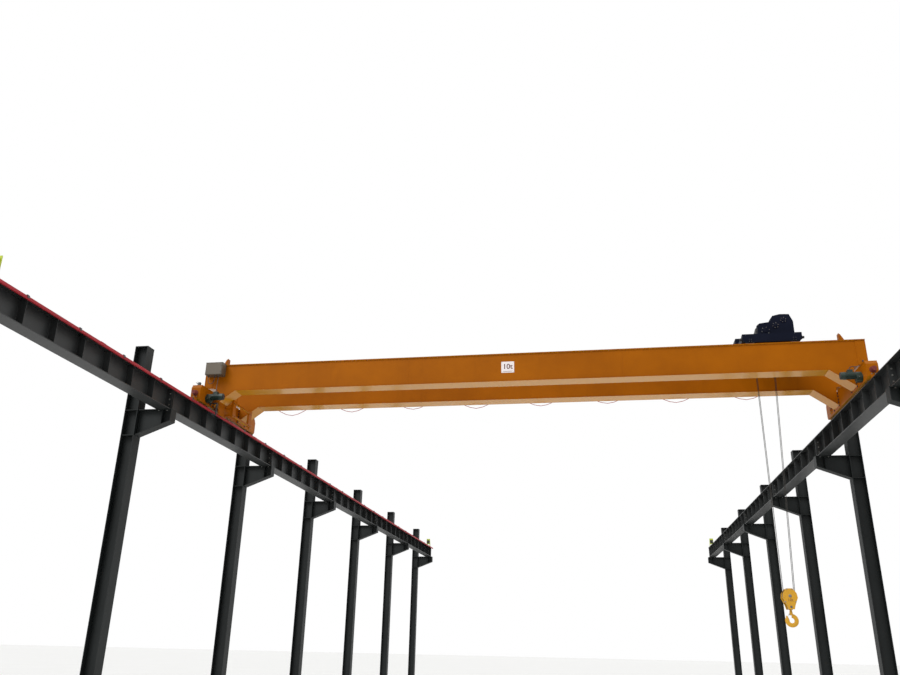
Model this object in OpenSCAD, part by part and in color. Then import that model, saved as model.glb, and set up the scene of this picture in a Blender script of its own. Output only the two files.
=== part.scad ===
// Overhead bridge crane on its own runway, 10 t, two box girders.
// X runs along the bridge, Y along the runway, Z up from the shop floor.

/* [Runway] */

// distance between the two crane rails
span = 16500; // [14000:100:18500]
// distance between columns along the runway
bay = 6400; // [5800:50:6450]
// number of bays
bays = 6; // [4:1:6]
// height of the runway beam's top face above the floor
beam_top = 7500; // [6800:50:8500]
// depth of the runway beam
beam_h = 540; // [440:10:640]
// flange width of the runway beam
beam_w = 350; // [300:10:360]
// stiffener spaces in one bay
stiffener_spaces = 7; // [5:1:8]
// height of the crane rail
rail_h = 60; // [50:5:70]

/* [Columns] */

// rail centre to column centre
column_offset = 800; // [760:10:900]
// column depth across the runway
column_d = 340; // [280:10:360]
// column flange width
column_w = 300; // [240:10:320]
// top of the column above the runway beam
column_rise = 1100; // [900:50:2300]
// corbel depth at the column
corbel_d = 640; // [500:10:750]
// base plate length across the runway
base_l = 500; // [480:5:520]
// base plate width along the runway
base_w = 450; // [440:5:520]
// base plate thickness
plate_t = 25; // [20:1:40]
// anchor hole spacing across the runway
hole_l = 420; // [400:5:430]
// anchor hole spacing along the runway
hole_w = 370; // [360:5:390]
// anchor hole diameter
hole_d = 33; // [27:1:36]

/* [Bridge] */

// place of the bridge along the runway, from the runway's middle
bridge_y = -9640; // [-9700:20:-9500]
// girder depth
girder_h = 750; // [650:10:850]
// girder flange width
girder_w = 450; // [400:10:480]
// length of the girder's sloped end, from the carriage to the straight bottom flange
slope_run = 580; // [450:10:700]
// distance between the two girders, centre to centre
gauge = 1600; // [1560:10:1700]
// length of an end carriage
carriage_len = 3600; // [3500:50:3900]
// distance between the wheels of an end carriage
wheel_base = 2800; // [2700:20:2840]
// crane wheel diameter
wheel_d = 400; // [380:5:410]
// how far the carriage's flange plates stand out past its webs
flange_lip = 8; // [4:1:9]
// middle of the collector frame's posts from the left crane rail
frame_gap = 500; // [470:10:540]
// width of the collector frame's posts
frame_post = 180; // [140:10:220]

/* [Trolley and hook] */

// trolley's middle from the right crane rail
trolley_gap = 1860; // [1850:10:2650]
// length of the trolley
t_len = 1400; // [1360:10:1460]
// rope drum diameter
drum_d = 440; // [380:10:460]
// rope diameter
rope_d = 14; // [12:1:18]
// height of the hook block's sheave centre above the floor
block_z = 3000; // [2700:50:4000]
// sheave diameter over the rims
sheave_d = 270; // [250:5:290]

/* [Festoon] */

// cable diameter
cable_d = 16; // [12:1:20]
// end clamp's middle from the left crane rail
clamp_gap = 650; // [600:10:900]
// tow carrier's middle from the trolley's middle
tow_reach = 500; // [460:10:560]

/* [Hidden] */
$fn = 48;
rail_x = span / 2;
column_x = rail_x + column_offset;
run_len = bay * bays;
beam_z = beam_top - beam_h;
rail_top = beam_top + rail_h;
column_top = beam_top + column_rise;
bay_face = column_x - column_d / 2;
beam_over = 150;
stop_h = 430;
// bridge levels
axle_z = rail_top + wheel_d / 2;
car_w = 260;
car_z0 = beam_top + 110;
car_h = 440;
car_z1 = car_z0 + car_h;
car_in = rail_x - car_w / 2;
girder_z0 = car_z1 + 50;
girder_z1 = girder_z0 + girder_h;
girder_end = rail_x + 200;
slope_x = car_in - slope_run;
foot_z = car_z0 + 70;
foot_t = 12;
lip_t = 14;
near_y = bridge_y - gauge / 2;
far_y = bridge_y + gauge / 2;
top_t = 14;
low_t = 12;
web_t = 8;
box_w = girder_w - 70;
// trolley levels
trolley_x = rail_x - trolley_gap;
t_rail_h = 40;
t_rail_top = girder_z1 + t_rail_h;
t_wheel_d = 200;
t_axle_z = t_rail_top + t_wheel_d / 2;
cross_x = t_len / 2 - 60;
cross_w = 100;
side_z0 = t_rail_top + 45;
side_h = 220;
side_z1 = side_z0 + side_h;
drum_x = trolley_x - 80;
drum_z = side_z1 + 165;
drum_len = 900;
bearing_y = bridge_y + drum_len / 2 + 20;
box_y = bridge_y - drum_len / 2 - 170;
lift_x = drum_x - drum_d / 2;
sheave_x = lift_x + sheave_d / 2 - 12;
fall_x = trolley_x + 165;
fall_dy = 60;
upper_z = side_z1 - 180;
stop_x = rail_x - 330;
// collector and its frame
bar_x0 = -rail_x + beam_w / 2 + 62;
frame_x = -rail_x + frame_gap;
frame_z = car_z0 - 120;
collector_y = near_y - girder_w / 2 - 155;
// festoon
loops = 8;
festoon_y = far_y + girder_w / 2 + 75;
festoon_z = girder_z1 - 190;
clamp_x = -rail_x + clamp_gap;
tow_x = trolley_x + tow_reach;
loop_pitch = (tow_x - clamp_x) / loops;
saddle_low = festoon_z - 72;
bar_top = saddle_low - cable_d;
cable_z = saddle_low - cable_d / 2;
// half of one cable loop from its clamp to its lowest point, and how deep each loop hangs
half_loop = [[35, 0], [70, -3], [260, -270], [905, -555]];
loop_depth = [1.1, 1, 0.95, 1, 0.97, 0.94, 1, 0.96];
// the cables from the cabinet and the girder to the gear motors
cabinet_loop = [[-8290, -10800, 8499.6], [-8290, -10800, 8430], [-8280, -10802, 8340], [-8235, -10806, 8275],
                [-8165, -10806, 8275], [-8115, -10802, 8340], [-8105, -10800, 8430], [-8105, -10800, 8499.6]];
left_cable = [[-8000, -10800, 8499.6], [-8000, -10800, 8440], [-7985, -10830, 8330], [-7960, -10890, 8220],
              [-7920, -10970, 8130], [-7890, -11030, 8060], [-7875, -11040, 7995], [-7875, -11040, 7943.6]];
right_cable = [[8330, -10640.4, 8300], [8330, -10670, 8300], [8300, -10740, 8240], [8200, -10860, 8130],
               [8060, -10960, 8060], [7940, -11020, 8040], [7880, -11040, 8000], [7875, -11040, 7943.6]];
// hook
bowl_z = -290;
bowl_r = 100;
tip_a = 160;
// colours
crane_orange = [0.86, 0.46, 0.05];
steel_dark = [0.11, 0.12, 0.13];
steel_grey = [0.45, 0.46, 0.47];
hoist_blue = [0.07, 0.11, 0.25];
motor_green = [0.06, 0.2, 0.15];

// turns a piece over to the left side when s is negative
module flip(s) if (s < 0) mirror([1, 0, 0]) children(); else children();
module flip_y(s) if (s < 0) mirror([0, 1, 0]) children(); else children();

// a bar or a rod along X or Y between two ends
module bar_x(x0, x1, y, z, w, h) translate([x0, y - w / 2, z]) cube([x1 - x0, w, h]);
module bar_y(y0, y1, x, z, w, h) translate([x - w / 2, y0, z]) cube([w, y1 - y0, h]);

module rod_x(x0, x1, y, z, d) translate([x0, y, z]) rotate([0, 90, 0]) cylinder(h = x1 - x0, d = d);
module rod_y(y0, y1, x, z, d) translate([x, y1, z]) rotate([90, 0, 0]) cylinder(h = y1 - y0, d = d);

// a profile drawn in X and Z, drawn out along Y
module along_y(y0, y1)
    translate([0, y1, 0]) rotate([90, 0, 0]) linear_extrude(height = y1 - y0) children();

// a profile drawn in Y and Z, drawn out along X
module along_side(x0, x1)
    translate([x0, 0, 0]) rotate([90, 0, 90]) linear_extrude(height = x1 - x0) children();

// a round cable swept along its route, with one ring of points at each point of the route
function unit(v) = v / norm(v);
module cable(route, across) {
    sides = 8;
    last = len(route) - 1;
    points = [for (i = [0:last], k = [0:sides - 1])
        let (along = unit(route[min(i + 1, last)] - route[max(i - 1, 0)]),
             side = unit(cross(along, across)), up = cross(side, along), a = k * 360 / sides)
        route[i] + cable_d / 2 * (side * cos(a) + up * sin(a))];
    walls = [for (i = [0:last - 1], k = [0:sides - 1]) let (a = i * sides, b = (k + 1) % sides)
        [a + k, a + b, a + sides + b, a + sides + k]];
    polyhedron(points, concat([[for (k = [sides - 1:-1:0]) k]], walls,
                              [[for (k = [0:sides - 1]) last * sides + k]]), convexity = 4);
}

module i_profile(h, b, tf, tw) {
    polygon([[-b / 2, 0], [b / 2, 0], [b / 2, tf], [tw / 2, tf], [tw / 2, h - tf], [b / 2, h - tf],
             [b / 2, h], [-b / 2, h], [-b / 2, h - tf], [-tw / 2, h - tf], [-tw / 2, tf], [-b / 2, tf]]);
}

function column_y(i) = -run_len / 2 + i * bay;

// Columns

module column(x, y) {
    tf = 18;
    tw = 11;
    d = column_d;
    translate([x, y, plate_t]) linear_extrude(height = column_top - plate_t - 20)
        polygon([[-d / 2, -column_w / 2], [-d / 2 + tf, -column_w / 2], [-d / 2 + tf, -tw / 2],
                 [d / 2 - tf, -tw / 2], [d / 2 - tf, -column_w / 2], [d / 2, -column_w / 2],
                 [d / 2, column_w / 2], [d / 2 - tf, column_w / 2], [d / 2 - tf, tw / 2],
                 [-d / 2 + tf, tw / 2], [-d / 2 + tf, column_w / 2], [-d / 2, column_w / 2]]);
    // cap plate, and stiffeners across from the corbel's two flanges
    translate([x - d / 2, y - column_w / 2, column_top - 20]) cube([d, column_w, 20]);
    for (z = [beam_z - corbel_d, beam_z - 20])
        translate([x - d / 2 + 5, y - column_w / 2 + 8, z]) cube([d - 10, column_w - 16, 16]);
}

module columns(side) color(steel_dark)
    for (i = [0:bays]) column(side * column_x, column_y(i));

module left_columns() columns(-1);
module right_columns() columns(1);

module base_plates() color(steel_dark)
    for (side = [-1, 1], i = [0:bays]) translate([side * column_x, column_y(i), 0])
        difference() {
            translate([-base_l / 2, -base_w / 2, 0]) cube([base_l, base_w, plate_t]);
            for (a = [-1, 1], b = [-1, 1])
                translate([a * hole_l / 2, b * hole_w / 2, -1]) cylinder(h = plate_t + 2, d = hole_d);
        }

// Corbels: a tapered bracket with its web, two flanges, a tip plate and stiffeners

module corbel(side, y) {
    reach = bay_face - rail_x + 240;
    tip_h = 300;
    face = bay_face;
    low = [[face, beam_z - corbel_d], [face - reach, beam_z - tip_h],
           [face - reach, beam_z - tip_h + 18], [face, beam_z - corbel_d + 18]];
    web = [[face, beam_z - corbel_d + 10], [face, beam_z - 10],
           [face - reach, beam_z - 10], [face - reach, beam_z - tip_h + 10]];
    flip(side) {
        along_y(y - 7, y + 7) polygon(web);
        along_y(y - 125, y + 125) polygon(low);
        bar_x(face - reach, face, y, beam_z - 20, 250, 20);
        bar_x(face - reach, face - reach + 14, y, beam_z - tip_h, 250, tip_h);
        along_y(y - 115, y + 115)
            polygon([[rail_x - 7, beam_z - 10], [rail_x + 7, beam_z - 10],
                     [rail_x + 7, beam_z - tip_h - 85], [rail_x - 7, beam_z - tip_h - 85]]);
    }
}

module left_corbels() color(steel_dark) for (i = [0:bays]) corbel(-1, column_y(i));
module right_corbels() color(steel_dark) for (i = [0:bays]) corbel(1, column_y(i));

// Runway beams: plate girders, one length a bay, with stiffeners in both sides

module runway_beam(x) {
    tf = 18;
    for (i = [0:bays - 1]) {
        y0 = i == 0 ? -run_len / 2 - beam_over : column_y(i) + 5;
        y1 = i == bays - 1 ? run_len / 2 + beam_over : column_y(i + 1) - 5;
        translate([x, 0, beam_z]) along_y(y0, y1) i_profile(beam_h, beam_w, tf, 10);
        for (k = [0:stiffener_spaces]) {
            first = k == 0 ? 30 : 0;
            last = k == stiffener_spaces ? -30 : 0;
            y = column_y(i) + k * bay / stiffener_spaces + first + last;
            for (s = [-1, 1])
                translate([x + s * (beam_w / 4 - 2), y, beam_z + beam_h / 2])
                    cube([beam_w / 2 - 12, 10, beam_h - 2 * tf + 4], center = true);
        }
    }
}

module left_runway_beam() color(steel_dark) runway_beam(-rail_x);
module right_runway_beam() color(steel_dark) runway_beam(rail_x);

// plates from the beam's top flange back to the column, which hold it sideways
module beam_ties() color(steel_grey)
    for (side = [-1, 1], i = [0:bays]) {
        x0 = rail_x + beam_w / 2 - 60;
        y = column_y(i);
        flip(side) {
            bar_x(x0, bay_face, y, beam_top, 200, 12);
            along_y(y - 6, y + 6) polygon([[bay_face, beam_top + 6], [bay_face, beam_top + 150],
                                           [bay_face - 20, beam_top + 150], [bay_face - 160, beam_top + 6]]);
        }
    }

module rail(x) translate([x, 0, beam_top]) along_y(-run_len / 2 - 100, run_len / 2 + 100)
    polygon([[-60, 0], [60, 0], [60, 9], [24, 16], [17, 24], [17, rail_h - 26], [28, rail_h - 20],
             [28, rail_h - 3], [25, rail_h], [-25, rail_h], [-28, rail_h - 3], [-28, rail_h - 20],
             [-17, rail_h - 26], [-17, 24], [-24, 16], [-60, 9]]);

module left_rail() color(steel_grey) rail(-rail_x);
module right_rail() color(steel_grey) rail(rail_x);

// end stops: a plate with a sloped back, at the four rail ends
module end_stops() color([0.62, 0.72, 0.1])
    for (sx = [-1, 1], sy = [-1, 1]) flip_y(sy) {
        y = run_len / 2 - 160;
        z = beam_top;
        for (s = [-1, 1]) translate([sx * rail_x + s * 82 - 6, 0, 0])
            rotate([90, 0, 90]) linear_extrude(height = 12)
                polygon([[y + 10, z], [y + 260, z], [y + 260, z + 60],
                         [y + 90, z + stop_h], [y + 10, z + stop_h]]);
        translate([sx * rail_x - 100, y - 10, z + rail_h + 120]) cube([200, 20, stop_h - rail_h - 60]);
    }

module conductor_bar() color([0.62, 0.1, 0.12])
    translate([bar_x0, 0, beam_top - 42])
        along_y(-run_len / 2 - 60, run_len / 2 + 60)
            polygon([[-26, -20], [-12, -34], [-12, -14], [12, -14], [12, -34], [26, -20], [26, 20],
                     [18, 28], [-18, 28], [-26, 20]]);

module conductor_brackets() color(steel_dark)
    for (k = [0:4 * bays - 1]) {
        y = -run_len / 2 + (k + 0.5) * bay / 4;
        x = -rail_x + beam_w / 2;
        bar_x(x - 60, x + 80, y, beam_top, 40, 8);
        bar_x(x + 52, x + 72, y, beam_top - 14, 40, 16);
    }

// Bridge girders: welded boxes that drop to the end carriages

function girder_side(t, e) = [
    [-slope_x + t * 0.32, girder_z0 + t], [slope_x - t * 0.32, girder_z0 + t],
    [car_in - e, foot_z + t * 1.25], [car_in - e, girder_z0 + 70 + t],
    [girder_end - e, girder_z0 + 100 + t], [girder_end - e, girder_z1 - top_t],
    [-girder_end + e, girder_z1 - top_t], [-girder_end + e, girder_z0 + 100 + t],
    [-car_in + e, girder_z0 + 70 + t], [-car_in + e, foot_z + t * 1.25]];

module girder(y) {
    half = box_w / 2;
    along_y(y - half, y + half) polygon(girder_side(0, 10));
    // top flange, bottom flange with its two sloped ends
    bar_x(-girder_end, girder_end, y, girder_z1 - top_t, girder_w, top_t);
    along_y(y - girder_w / 2, y + girder_w / 2)
        polygon([[-slope_x, girder_z0], [slope_x, girder_z0], [car_in - foot_t, foot_z],
                 [car_in - foot_t, foot_z + low_t * 1.25], [slope_x - 4, girder_z0 + low_t],
                 [-slope_x + 4, girder_z0 + low_t], [-car_in + foot_t, foot_z + low_t * 1.25],
                 [-car_in + foot_t, foot_z]]);
    for (s = [-1, 1]) {
        // plate that meets the end carriage, with its row of bolt lugs
        flip(s) bar_x(car_in - foot_t, car_in, y, car_z0 + 15, girder_w + 90, car_h - 40);
        // doubling strips on the webs over the carriage
        flip(s) bar_x(girder_end - 230, girder_end - 10, y, girder_z0 + 115, box_w + 20, girder_h - 135);
        // plate that closes the box over the carriage
        flip(s) bar_x(girder_end - 12, girder_end, y, girder_z0 + 90, girder_w - 40, girder_h - 100);
    }
}

// the hollow inside a box, and the vent in each of its end plates
module girder_hollow(y) {
    half = box_w / 2 - web_t;
    along_y(y - half, y + half) polygon(girder_side(low_t, 22));
    for (s = [-1, 1]) rod_x(s * girder_end - 40, s * girder_end + 40, y, girder_z1 - 200, 90);
}

module near_girder() color(crane_orange) difference() {
    girder(near_y);
    girder_hollow(near_y);
}

module far_girder() color(crane_orange) difference() {
    girder(far_y);
    girder_hollow(far_y);
}

module end_carriage(x) {
    half = carriage_len / 2;
    y0 = bridge_y - half;
    y1 = bridge_y + half;
    difference() {
        union() {
            along_side(x - car_w / 2, x + car_w / 2)
                polygon([[y0, car_z0 + 60], [y0 + 60, car_z0], [y1 - 60, car_z0], [y1, car_z0 + 60],
                         [y1, car_z1 - 90], [y1 - 60, car_z1], [y0 + 60, car_z1], [y0, car_z1 - 90]]);
            // the edges of the top and bottom flange plates
            for (z = [car_z0, car_z1 - lip_t])
                translate([x - car_w / 2 - flange_lip, y0 + 60, z])
                    cube([car_w + 2 * flange_lip, carriage_len - 120, lip_t]);
        }
        // wheel wells, open below
        for (s = [-1, 1]) {
            wy = bridge_y + s * wheel_base / 2;
            translate([x - 75, wy - wheel_d / 2 - 35, car_z0 - 1]) cube([150, wheel_d + 70, 390]);
            rod_x(x - car_w, x + car_w, wy, axle_z, wheel_d * 0.2 + 0.1);
        }
        // the hollow of the box between the wells
        translate([x - car_w / 2 + 8, bridge_y - wheel_base / 2 + wheel_d / 2 + 47, car_z0 + 10])
            cube([car_w - 16, wheel_base - wheel_d - 94, car_h - 20]);
        translate([x - 60, bridge_y - 200, car_z0 - 1]) cube([120, 400, 20]);
    }
}

module left_end_carriage() color(crane_orange) end_carriage(-rail_x);
module right_end_carriage() color(crane_orange) end_carriage(rail_x);

// double flanged wheels, turned from one profile, on their axles
module wheel(x, y, z, d, w, axle) translate([x, y, z]) rotate([0, 90, 0]) {
    rim = d / 2;
    rotate_extrude($fn = 96) polygon([[10, -w / 2], [rim * 0.45, -w / 2], [rim * 0.5, -w * 0.22],
        [rim * 0.82, -w * 0.22], [rim * 0.88, -w / 2], [rim + 22, -w / 2], [rim + 22, -w / 2 + 8],
        [rim, -w / 2 + 16], [rim, w / 2 - 16], [rim + 22, w / 2 - 8], [rim + 22, w / 2],
        [rim * 0.88, w / 2], [rim * 0.82, w * 0.22], [rim * 0.5, w * 0.22], [rim * 0.45, w / 2],
        [10, w / 2]]);
    cylinder(h = axle, d = d * 0.2, center = true);
}

module bridge_wheels() color(steel_grey)
    for (sx = [-1, 1], sy = [-1, 1])
        wheel(sx * rail_x, bridge_y + sy * wheel_base / 2, axle_z, wheel_d, 110, 250);

module buffers() color([0.42, 0.09, 0.06])
    for (sx = [-1, 1], sy = [-1, 1])
        translate([sx * rail_x, bridge_y + sy * carriage_len / 2, axle_z + 55]) rotate([-sy * 90, 0, 0]) {
            cylinder(h = 12, d = 150);
            cylinder(h = 130, d1 = 120, d2 = 104);
        }

// travel drive: gearbox, motor with its ribs and fan cover, terminal box
module gear_motor(x, y) {
    s = x < 0 ? 1 : -1;
    face = x + s * car_w / 2;
    translate([face, y, axle_z]) flip(s) {
        rotate([0, 90, 0]) cylinder(h = 16, d = 210);
        along_side(14, 134) gear_case();
        translate([130, 0, 55]) rotate([0, 90, 0]) {
            cylinder(h = 30, d = 150);
            for (k = [0:8]) translate([0, 0, 30 + k * 22]) cylinder(h = 10, d = 178);
            translate([0, 0, 25]) cylinder(h = 215, d = 156);
            translate([0, 0, 232]) cylinder(h = 100, d1 = 182, d2 = 170);
            translate([-128, -55, 60]) cube([68, 110, 110]);
        }
    }
}

module gear_case() {
    circle(d = 190);
    translate([0, 55]) circle(d = 170);
    translate([-60, -105]) square([120, 40]);
}

module left_gear_motor() color(motor_green) gear_motor(-rail_x, bridge_y - wheel_base / 2);
module right_gear_motor() color(motor_green) gear_motor(rail_x, bridge_y - wheel_base / 2);

module trolley_rails() color(steel_grey)
    for (y = [near_y, far_y]) bar_x(-rail_x + 150, rail_x - 150, y, girder_z1, 50, t_rail_h);

module trolley_stops() color(crane_orange)
    for (sx = [-1, 1], y = [near_y, far_y]) translate([sx * stop_x, y, 0])
        flip(sx) {
            translate([0, -70, girder_z1 + t_rail_h]) cube([14, 140, 190]);
            for (s = [-1, 1]) translate([0, s * 52, 0]) along_y(-6, 6)
                polygon([[10, girder_z1], [150, girder_z1], [40, girder_z1 + 215], [10, girder_z1 + 215]]);
        }

module control_cabinet() color([0.62, 0.6, 0.55]) {
    x0 = -girder_end + 100;
    y1 = near_y - girder_w / 2;
    translate([x0, y1 - 230, girder_z1 - 350]) cube([480, 230, 340]);
    translate([x0 + 12, y1 - 238, girder_z1 - 340]) cube([456, 10, 320]);
    // the two bars that carry it on the girder's web
    for (z = [girder_z1 - 300, girder_z1 - 90])
        translate([x0 + 145, y1 - 4, z]) cube([300, 4 + (girder_w - box_w) / 2, 40]);
}

module capacity_plate() color([0.85, 0.82, 0.84])
    translate([-310, near_y - box_w / 2 - 4, girder_z0 + 235]) cube([330, 4, 300]);

// collector arm: out from the left end carriage, down past the bar and back under it
module current_collector() color(steel_dark) {
    face = -rail_x + car_w / 2;
    x = bar_x0;
    y = collector_y;
    low = beam_top - 42 - 34 - 6;
    translate([face, y - 40, car_z0 + 40]) cube([12, 80, 120]);
    bar_x(face + 10, x + 98, y, car_z0 + 85, 30, 25);
    bar_x(x + 73, x + 98, y, low - 48, 30, car_z0 + 110 - low + 48);
    bar_x(x - 18, x + 98, y, low - 48, 30, 20);
    translate([x - 17, y - 90, low - 28]) cube([34, 180, 28]);
}

// the underside of a girder's sloped end, at a distance from the bridge's middle
function foot_under(x) = girder_z0 - (abs(x) - slope_x) * (girder_z0 - foot_z) / (car_in - foot_t - slope_x);

// a plate cut to the slope above it, from x0 to x1
module hung_plate(x0, x1, z) polygon([[x0, z], [x1, z], [x1, foot_under(x1)], [x0, foot_under(x0)]]);

// frame over the conductor bar, under the left girder ends: two channel posts with two angle
// bars between them, and a bracket plate tied to the near post
module collector_frame() color(crane_orange) {
    depth = 60;
    wall = 10;
    bar = 45;
    edge = girder_w / 2;
    x0 = frame_x - depth / 2;
    x1 = frame_x + depth / 2;
    near_post = near_y + edge - bar;
    far_post = far_y - edge + bar - frame_post;
    for (y = [near_post, far_post]) intersection() {
        along_y(y, y + frame_post) hung_plate(x0, x1, frame_z);
        translate([x0, y, frame_z]) linear_extrude(height = girder_h)
            polygon([[0, 0], [depth, 0], [depth, frame_post], [0, frame_post],
                     [0, frame_post - wall], [depth - wall, frame_post - wall],
                     [depth - wall, wall], [0, wall]]);
    }
    for (z = [frame_z + 18, foot_under(x0) - bar]) along_y(near_post + frame_post - wall, far_post + wall)
        translate([x1, z]) polygon([[0, 0], [0, bar], [-6, bar], [-6, 6], [-bar, 6], [-bar, 0]]);
    plate_x = x0 - 170;
    along_y(near_y - edge, near_y + edge) hung_plate(plate_x, plate_x + 12, frame_z - 40);
    for (z = [frame_z + 18, frame_z + 200]) bar_x(plate_x + 4, x0 + 4, near_post + wall / 2, z, wall, bar);
}

// festoon track: a C rail on arms from the far girder's top flange
module festoon_rail() color(steel_grey) {
    x0 = clamp_x - 120;
    x1 = rail_x - 450;
    y = festoon_y;
    z = festoon_z;
    translate([x0, y, z]) rotate([90, 0, 90]) linear_extrude(height = x1 - x0)
        polygon([[-24, 0], [-8, 0], [-8, 4], [-20, 4], [-20, 40], [20, 40], [20, 4], [8, 4], [8, 0],
                 [24, 0], [24, 44], [-24, 44]]);
    for (k = [0:8]) {
        x = x0 + 60 + k * (x1 - x0 - 120) / 8;
        bar_y(far_y + box_w / 2, y + 26, x, z + 44, 60, 8);
        along_side(x - 4, x + 4)
            polygon([[far_y + box_w / 2, z - 70], [far_y + box_w / 2, z + 46],
                     [far_y + box_w / 2 + 85, z + 46]]);
    }
}

// cable carriers that run in the C rail: stem, saddle and clamp bar
module carrier(x, block) {
    y = festoon_y;
    z = festoon_z;
    for (s = [-1, 1]) translate([x + s * 28, 0, 0]) {
        rod_y(y - 17, y - 9, 0, z + 17.3, 26);
        rod_y(y + 9, y + 17, 0, z + 17.3, 26);
        rod_y(y - 10, y + 10, 0, z + 17.3, 10);
        translate([-5, y - 4, z - 26]) cube([10, 8, 44]);
    }
    translate([x - block / 2, y - 22, z - 34]) cube([block, 44, 12]);
    along_y(y - 22, y + 22) translate([x, z - 34])
        polygon([[-block / 2, 0], [block / 2, 0], [block / 2, -14], [34, -38], [-34, -38],
                 [-block / 2, -14]]);
    translate([x - 34, y - 34, bar_top - 8]) cube([68, 68, 8]);
    for (s = [-1, 1]) translate([x, y + s * 26, bar_top - 18]) cylinder(h = saddle_low - bar_top + 30, d = 8);
    for (s = [-1, 1]) translate([x - 34, y + s * 26 - 7, saddle_low]) cube([68, 14, 12]);
}

module carriers(i) color(steel_dark) carrier(clamp_x + i * loop_pitch, 100);
module festoon_carrier_1() carriers(1);
module festoon_carrier_2() carriers(2);
module festoon_carrier_3() carriers(3);
module festoon_carrier_4() carriers(4);
module festoon_carrier_5() carriers(5);
module festoon_carrier_6() carriers(6);
module festoon_carrier_7() carriers(7);
module festoon_tow_carrier() color(steel_dark) {
    carrier(tow_x, 100);
    translate([tow_x - 8, festoon_y + 20, festoon_z - 34]) cube([16, 90, 12]);
}
module festoon_end_clamp() color(steel_dark) {
    carrier(clamp_x, 100);
    translate([clamp_x - 60, festoon_y - 5, festoon_z - 30]) cube([20, 10, 34]);
}

// Cables: one loop from clamp to clamp, its second half the mirror of the first
module festoon_cables() color([0.62, 0.12, 0.14])
    for (i = [0:loops - 1]) {
        stretch = loop_pitch / (2 * half_loop[3][0]);
        left = [for (p = half_loop) [clamp_x + i * loop_pitch + (p[0] < 100 ? p[0] : p[0] * stretch),
                                     festoon_y, cable_z + p[1] * loop_depth[i]]];
        middle = clamp_x + (i + 0.5) * loop_pitch;
        right = [for (k = [2:-1:0]) [2 * middle - left[k][0], festoon_y, left[k][2]]];
        cable(concat(left, right), [0, 1, 0]);
    }

module motor_cables() color([0.16, 0.05, 0.05]) {
    cable(cabinet_loop, [0, 1, 0]);
    cable(left_cable, [1, 0, 0]);
    cable(right_cable, [1, -1, 0]);
}

// Trolley frame: two side members over the rails, two cross members between them

module side_member(y) {
    x0 = trolley_x - t_len / 2;
    difference() {
        along_y(y - 70, y + 70)
            polygon([[x0, side_z0 + 60], [x0 + 60, side_z0], [x0 + t_len - 60, side_z0],
                     [x0 + t_len, side_z0 + 60], [x0 + t_len, side_z1], [x0, side_z1]]);
        for (s = [-1, 1]) {
            wx = trolley_x + s * (t_len / 2 - 180);
            translate([wx - t_wheel_d / 2 - 35, y - 45, side_z0 - 1]) cube([t_wheel_d + 70, 90, 185]);
            rod_y(y - 120, y + 120, wx, t_axle_z, 44.1);
        }
    }
}

module trolley_frame() color(hoist_blue) {
    side_member(near_y);
    side_member(far_y);
    for (s = [-1, 1]) translate([trolley_x + s * cross_x - cross_w / 2, near_y + 60, side_z1 - 130])
        difference() {
            cube([cross_w, gauge - 120, 130]);
            translate([8, -1, 8]) cube([cross_w - 16, gauge - 118, 114]);
        }
    // saddle for the drum, and the beam that holds the upper sheaves
    saddle = cross_x - cross_w / 2 + 2;
    for (y = [box_y, bearing_y]) translate([trolley_x - saddle, y, side_z1 - 60]) cube([2 * saddle, 40, 60]);
    translate([fall_x - 60, box_y + 20, side_z1 - 60]) cube([120, bearing_y - box_y, 60]);
}

module trolley_wheels() color(steel_grey)
    for (sx = [-1, 1], y = [near_y, far_y]) translate([trolley_x + sx * (t_len / 2 - 180), y, t_axle_z])
        rotate([90, 0, 0]) {
            rotate_extrude($fn = 72) polygon([[8, -42], [116, -42], [116, -37], [100, -30], [100, 30],
                                              [116, 37], [116, 42], [8, 42]]);
            cylinder(h = 128, d = 44, center = true);
        }

module trolley_buffers() color([0.12, 0.12, 0.12])
    for (s = [-1, 1], y = [near_y, far_y]) translate([trolley_x + s * t_len / 2, y, side_z0 + 105])
        rotate([0, s * 90, 0]) {
            cylinder(h = 10, d = 90);
            cylinder(h = 60, d1 = 72, d2 = 62);
        }

// rope drum with its grooves, turned as one profile
module rope_drum() color(steel_grey) translate([drum_x, bridge_y + drum_len / 2, drum_z]) rotate([90, 0, 0]) {
    turns = 22;
    pitch = 2.4 * rope_d;
    r = drum_d / 2;
    start = (drum_len - turns * pitch) / 2;
    groove = [for (i = [0:turns - 1]) each [[r - 7, start + (i + 0.02) * pitch],
        [r - 7, start + (i + 0.45) * pitch], [r, start + (i + 0.6) * pitch],
        [r, start + (i + 0.85) * pitch]]];
    rotate_extrude($fn = 96) polygon(concat([[20, 0], [r + 22, 0], [r + 22, 14], [r, 18]], groove,
        [[r, drum_len - 18], [r + 22, drum_len - 14], [r + 22, drum_len], [20, drum_len]]));
    translate([0, 0, -60]) cylinder(h = drum_len + 120, d = 70);
}

module drum_bearing() color(hoist_blue) {
    y = bearing_y;
    difference() {
        along_y(y, y + 40) polygon([[drum_x - 240, side_z1], [drum_x + 240, side_z1],
                                    [drum_x + 90, drum_z + 90], [drum_x - 90, drum_z + 90]]);
        rod_y(y - 10, y + 60, drum_x, drum_z, 70.1);
    }
}

// gearbox housing that carries the drum's driven end
module hoist_gearbox() color(hoist_blue) {
    y = box_y;
    difference() {
        along_y(y, y + 150) gearbox_side();
        rod_y(y + 108, y + 160, drum_x, drum_z, 70.1);
    }
}

module gearbox_side() translate([drum_x, side_z1])
    polygon([[-190, 0], [640, 0], [680, 60], [680, 400], [600, 590], [380, 600], [200, 560],
             [110, 400], [-130, 370], [-190, 310]]);

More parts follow.
